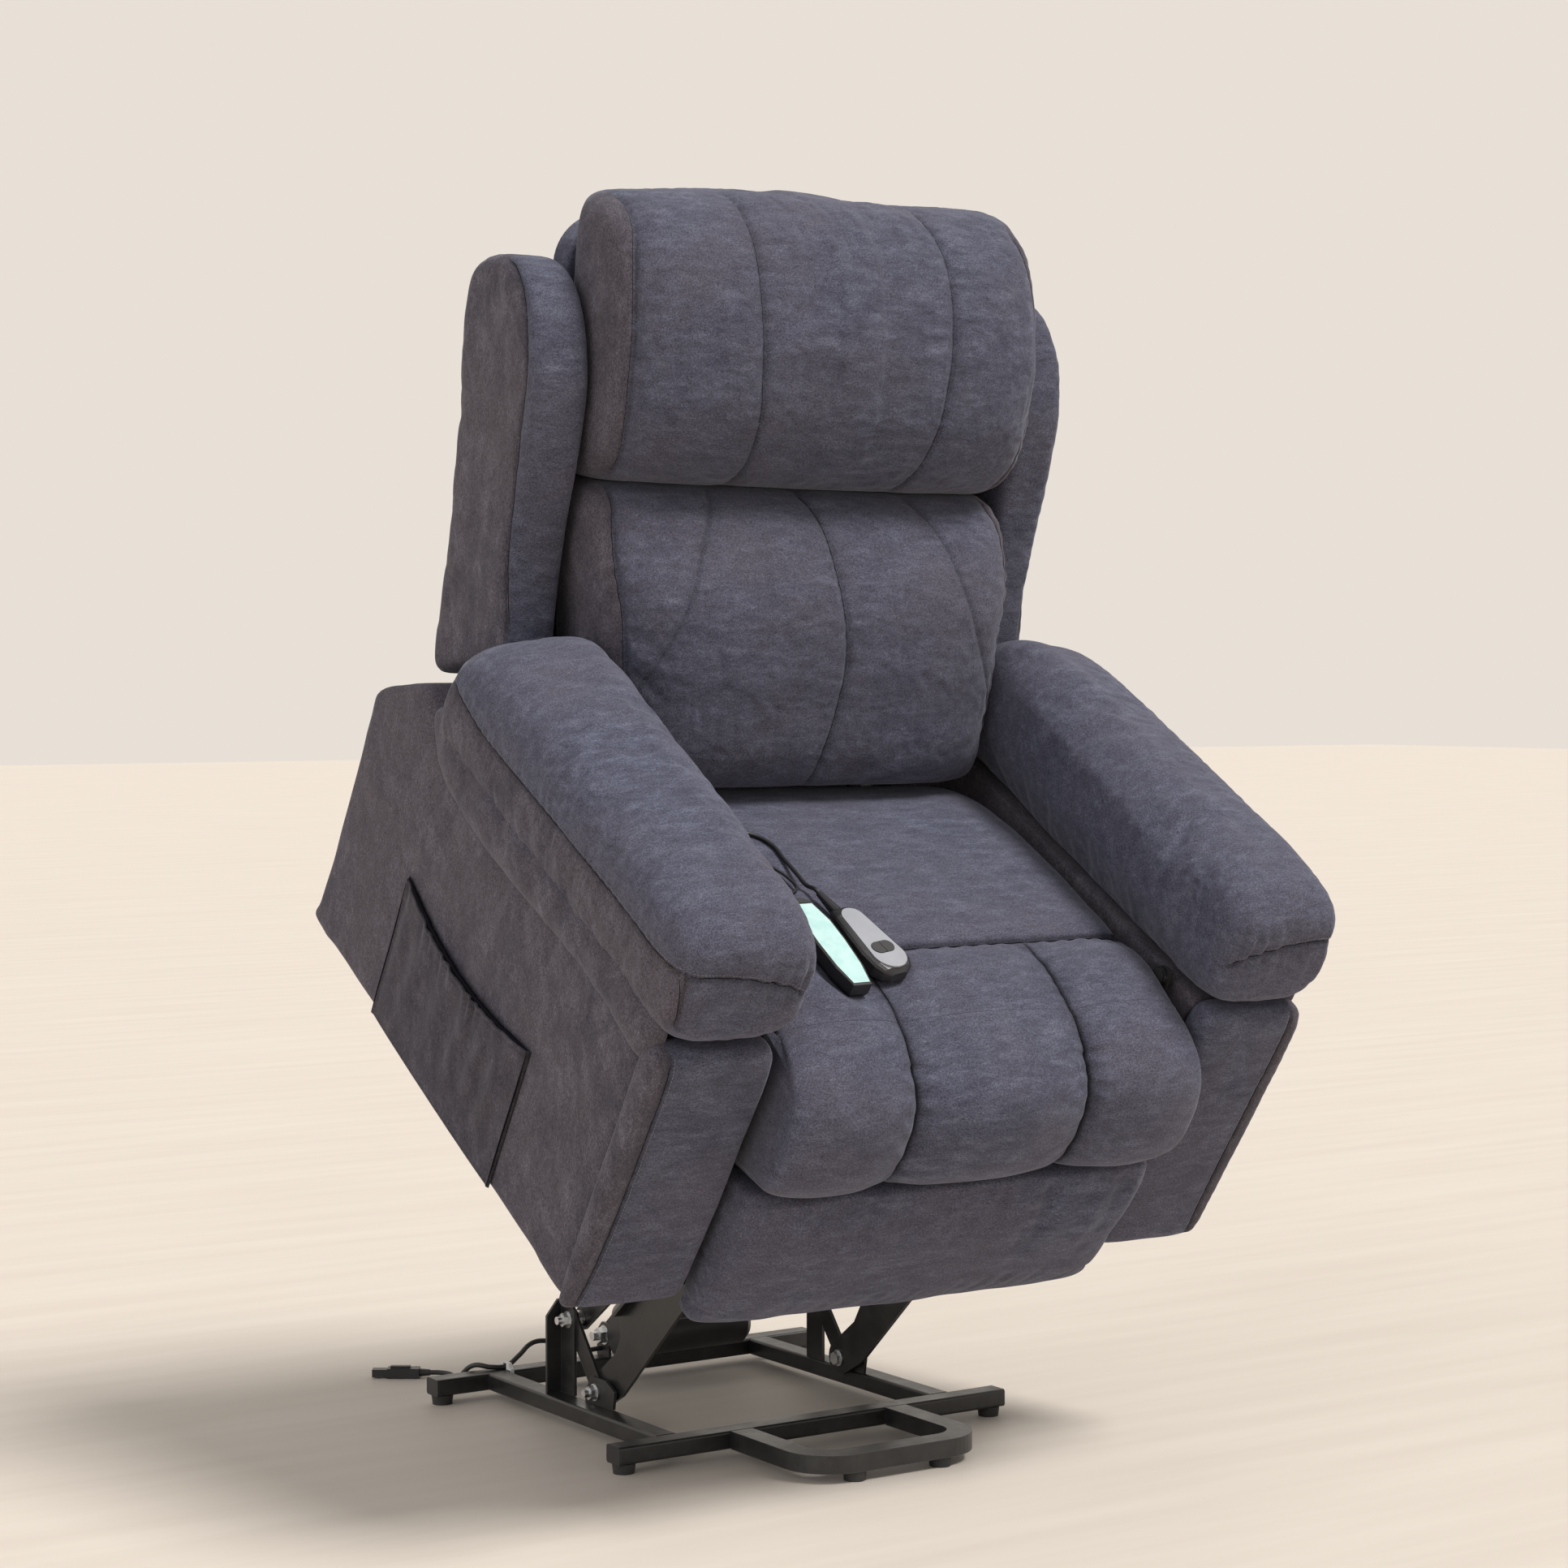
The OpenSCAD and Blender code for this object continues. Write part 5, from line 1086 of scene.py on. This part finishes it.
for side, name in SIDES:
    upholster(
        "arm_front_" + name, "seat_body", "front_panel_" + name, 0.9, block(PANEL_ROWS, -374, 80, True), 5.0, 3,
        seams=[(PANEL_SEAM, FROM_FRONT, dict(depth=1.8, w=2.6, pull=1.6, pucker=0.4))],
        folds=[(FROM_FRONT, PANEL_FOLDS)],
        # the second trim is a dark tube of painted shadow along the seam
        trims=[("panel_stitches_" + name, THREAD, [0], (4.5, 0), {}),
               ("panel_seam_shadows_" + name, SEAM_SHADOW, [0], STILL, dict(r=0.6))],
        other=(SIDE, beyond(PANEL_SEAM)), flip=side > 0, cell=80, seed=71 + side)

# ---- pocket


def pocket():
    """Patch pocket: a cloth shell that stands off the side panel and is gathered along its sagging top."""
    cols, rows, base, height, thick = 150, 84, 441.0, 195, 2.6
    S, T = np.meshgrid(np.linspace(0, 1, cols), np.linspace(0, 1, rows))
    f = 197 + (536 - 197) * S
    top, low = 198 - 22 * np.sin(math.pi * S) ** 0.9 - 2 * S, 3 + 2 * S
    h = low + (top - low) * T
    sides = np.minimum(S, 1 - S) * 340
    rise = np.sin(math.pi * S) ** 0.35
    gather = np.sin(2 * math.pi * (S * 15 + 0.35 * np.sin(S * 19))) * (0.55 + 0.45 * np.sin(S * 31 + 1))
    long_fold = np.sin(2 * math.pi * (S * 6.2 + 0.2 * np.sin(9 * S) - 0.5 * T)) * bell(T - 0.6, 0.3)
    out = base + rise * (3.5 + 8.5 * T ** 1.6 + 2.2 * gather * bell(1 - T, 0.16) + 2.4 * long_fold)
    out += 0.9 * np.exp(-((1 - T) * height / 3.0 - 1) ** 2) + 1.6 * bell(sides - 3, 2.6)
    outer = np.stack([-out, -f, h], -1)
    inner = outer.copy()
    inner[..., 0] = np.minimum(0.2 - base, outer[..., 0] + thick)
    k = cols * rows
    faces = []
    for j in range(rows - 1):
        for a in range(j * cols, j * cols + cols - 1):
            faces += [(a, a + cols, a + cols + 1, a + 1), (k + a, k + a + 1, k + a + cols + 1, k + a + cols)]
    for i in range(cols - 1):
        b = k - cols + i
        faces += [(i, i + 1, k + i + 1, k + i), (b, k + b, k + b + 1, b + 1)]
    for a in range(0, k - cols, cols):
        b = a + cols - 1
        faces += [(a, k + a, k + a + cols, a + cols), (b, b + cols, k + b + cols, k + b)]
    o = mesh_object("pocket_patch", np.concatenate([outer.reshape(-1, 3), inner.reshape(-1, 3)]), faces)
    # the whole patch is darkened, with painted shade along its sewn edges, a painted shadow just under its sagging top
    # edge and in the gathers' troughs, and painted shade on its inner face
    dark = (0.36 + 0.5 * bell(np.minimum(sides, T * height + 3), 5.0) + 0.35 * bell((1 - T) * height - 7, 3.0)
            + 0.12 * np.clip(-gather, 0, 1) * bell(1 - T, 0.3))
    shade(o, np.concatenate([dark.ravel(), np.full(k, 0.8)]))
    finish_piece(o, "seat_body", SIDE, "side_pocket")
    # dark tubes of painted shadow: a thick one just inside the top edge, between patch and panel, and thin ones along
    # the sewn sides
    opening_shadow = np.column_stack([-base - 0.4 - 0.45 * (out[-1] - base), -f[-1], h[-1] + 0.6])[::3]
    welt_shadows = [np.column_stack([-out[:, i] - 0.4, -f[:, i], h[:, i]])[::4] for i in (1, cols - 2)]
    for name, lines, r, sink in (("opening_shadow", [opening_shadow], 2.6, 0), ("welt_shadows", welt_shadows, 0.9, 0.2)):
        trim("pocket_" + name, SEAM_SHADOW, [(q, np.tile([-1.0, 0, 0], (len(q), 1))) for q in lines], "seat_body", r=r,
             sink=sink)


pocket()

# ---- footrest panel

FOOT_ROWS = [
    (-37, 530, 716, 747, 5), (-35.5, 548, 709, 755, 5), (-27, 560, 707.6, 766, 5), (0, 565, 707.6, 777, 5),
    (40, 567, 707.6, 787, 5), (110, 569, 707.6, 799, 5), (150, 570, 707.6, 801, 5), (164, 568, 707.8, 796, 5),
    (170.5, 564, 711, 788, 5), (173, 556, 717, 778, 5)]
FOOT_FOLDS = [([(x, top), (x - 4, (top + low) / 2), (x - 12, low)], height, 11) for x, top, low, height in (
    (-262, 168, 40, 2.8), (-234, 170, 70, -2.4), (-206, 170, 110, 1.8), (-150, 170, 90, -1.6), (-100, 170, 110, 1.6),
    (-30, 170, 120, -1.2), (70, 170, 100, -1.6), (104, 170, 84, 2.0), (136, 170, 70, -2.0), (166, 170, 90, 2.0),
    (208, 170, 40, 2.4), (238, 170, 60, -2.4), (266, 170, 60, 2.0))]
FOOT_FOLDS += [([(-250, 20), (-60, 6)], 1.2, 16), ([(40, 4), (240, 26)], -1.2, 16)]

upholster(
    "foot_pad", "footrest", "foot_panel", 0.7, block(FOOT_ROWS, 0, 70, True), 5.5, 3,
    hold=lambda p, _: held(p[:, 1] > -712, p[:, 2] > 164, 0.8 * (p[:, 2] < -20)), cap=8, slack=0.02,
    # dark is painted shade along the top edge, under the roll
    folds=[(FROM_FRONT, FOOT_FOLDS)], dark=lambda p: 0.45 * bell(p[:, 2] - 173, 7), undulate=1.5, cell=75, seed=91)

# ---- back frame and rear skins


def panel_outline(x, z0, z1, low_r, top_r):
    """Rounded rectangle with its own radius at the top corners."""
    out = []
    for cx, cz, r, a0 in ((x - low_r, z0 + low_r, low_r, -90), (x - top_r, z1 - top_r, top_r, 0),
                          (top_r - x, z1 - top_r, top_r, 90), (low_r - x, z0 + low_r, low_r, 180)):
        out += [(cx + r * math.cos(a), cz + r * math.sin(a)) for a in np.radians(np.linspace(a0, a0 + 90, 13))]
    return resample(np.array(out), 300, closed=True)


def back_cover(hinge_u=197.82, hinge_v=36.15, hinge_r=6.4):
    """The cloth-covered frame: a wrapped board over the rails, a lining under it and the stiles' two bare feet."""
    lining_top, sides = 262, 48
    verts, faces = slab(panel_outline(275.5, lining_top, 897, 4, 62), -59.8, -20.3, 4, 4, 1)
    verts, faces = list(verts), [tuple(reversed(f)) for f in faces]
    for x0, x1 in ((-275, -255.3), (255.3, 275)):
        outer = ring((0, -40, 223), (0, 1, 0), (0, 0, 1), 19.8, 38.8, 24, sides)
        hole = ring((0, -hinge_v, hinge_u), (0, 1, 0), (0, 0, 1), hinge_r, hinge_r, 2, sides)
        base = len(verts)
        for q, x in ((outer, x0), (outer, x1), (hole, x1), (hole, x0)):
            verts += [(x, y, z) for _, y, z in q]
        for a in range(4):
            lo, hi = base + a * sides, base + (a + 1) % 4 * sides
            faces += [(lo + i, hi + i, hi + (i + 1) % sides, lo + (i + 1) % sides) for i in range(sides)]
    base = len(verts)
    verts += [(x, y, z) for x in (-253, 253) for y in (-50, -44) for z in (206, 261.5)]
    faces += [tuple(base + i for i in f) for f in
              ((0, 1, 3, 2), (4, 6, 7, 5), (0, 4, 5, 1), (2, 3, 7, 6), (1, 5, 7, 3), (0, 2, 6, 4))]
    o = mesh_object("back_frame_cover", verts, faces)
    o.data.materials.append(FRONT)
    o.data.materials.append(LINING)
    o.data.polygons.foreach_set("material_index", (face_centres(o)[:, 2] < lining_top).astype(np.int32))
    put(o, in_back(points(o)))
    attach(o, "backrest")
    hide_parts("back_frame")


back_cover()

# upholstered boards: outline, rear and front, rim, what they stand for
for name, outline, rear, front, r, node, body, seed in (
        ("back_outer", (305, 331, 882, 20, 140), -19.5, -0.5, 6, "back_shell", "backrest", 101),
        ("seat_outer", (299.8, 75.5, 261.5, 5, 5), -11.6, -0.4, 3, "rear_panel", "seat_body", 111)):
    upholster(name, body, node, 0.95, slab(panel_outline(*outline), rear, front, r, r, 1), 5.0, 2, turned=True,
              undulate=0.5, cell=90, seed=seed)

# a dark tube of painted shadow in the joint between the rear skin and each arm box
for x, name in ((-299.6, "right"), (299.6, "left")):
    line = np.linspace((x, -8, 82), (x, -8, 258), 30)
    trim("rear_joint_shadow_" + name, SEAM_SHADOW, [(line, np.tile([0.0, -1.0, 0.0], (30, 1)))], "seat_body", r=2.2, sink=0)

# ---- carried-over parts

for material, nodes in (
        (PAINT, """front_rail rear_rail side_rail_left side_rail_right front_loop post_left post_right pivot_lugs
                   pivot_braces actuator_bracket lower_link_left lower_link_right torque_tube upper_link_left
                   upper_link_right seat_frame lift_brackets footrest_arms"""),
        (CASE, """rail_plugs power_connector gear_housing motor outer_tube handset_shell button_up button_down
                  massage_handset"""),
        (ZINC, "upper_base_bolts lower_base_bolts actuator_bolt seat_pins"),
        (RUBBER, "floor_feet"), (WHITE, "cable_tie"), (CHROME, "lift_rod"), (WEB, "webbing"),
        (SILVER, "handset_face"), (MINT, "massage_face"), (LINING, "seat_box footrest_board")):
    for node in nodes.split():
        cad(node).data.materials.clear()
        cad(node).data.materials.append(material)

# ---- floor, light


def floor():
    half, z = 30000, -0.05
    o = mesh_object("floor", [(-half, -half, z), (half, -half, z), (half, half, z), (-half, half, z)], [(0, 1, 2, 3)])
    m, t, s = new_material("pale_floor", Roughness=0.55, Specular_IOR_Level=0.25)
    ramp(t, noise(t, coords(t, (0.4, 5.0, 1.0)), 3.0), (0.3, srgb(210, 199, 187)), (0.7, srgb(217, 207, 195)),
         to=s.inputs["Base Color"])
    o.data.materials.append(m)


def surroundings():
    """Soft light from all round; the camera and clear or glossy surfaces see the plain backdrop's own colour."""
    scene.world = bpy.data.worlds.new("world")
    scene.world.use_nodes = True
    t = scene.world.node_tree
    light = t.nodes["Background"]
    dial(light, Color=(1.0, 0.985, 0.965, 1), Strength=0.44)
    seen = add(t, "ShaderNodeBackground", Color=(*srgb(232, 224, 215), 1), Strength=1.0)
    path = add(t, "ShaderNodeLightPath")
    both, three = (add(t, "ShaderNodeMath", operation="MAXIMUM") for _ in range(2))
    blend = add(t, "ShaderNodeMixShader")
    for source, socket, target, number in (
            (path, "Is Camera Ray", both, 0), (path, "Is Glossy Ray", both, 1), (both, 0, three, 0),
            (path, "Is Transmission Ray", three, 1), (three, 0, blend, 0), (light, 0, blend, 1), (seen, 0, blend, 2),
            (blend, 0, t.nodes["World Output"], "Surface")):
        t.links.new(source.outputs[socket], target.inputs[number])


def sun(name, azimuth, elevation, strength, angle, colour):
    a, e = math.radians(azimuth), math.radians(elevation)
    d = Vector((math.cos(e) * math.sin(a), -math.cos(e) * math.cos(a), math.sin(e)))
    lamp = tuned(bpy.data.lights.new(name, "SUN"), energy=strength, angle=math.radians(angle), color=colour)
    linked(name, lamp, rotation_euler=d.to_track_quat("Z", "Y").to_euler())


floor()
surroundings()
sun("key", 38, 58, 2.9, 20, (1.0, 0.99, 0.97))
sun("fill", -78, 24, 0.8, 60, (0.98, 0.98, 1.0))
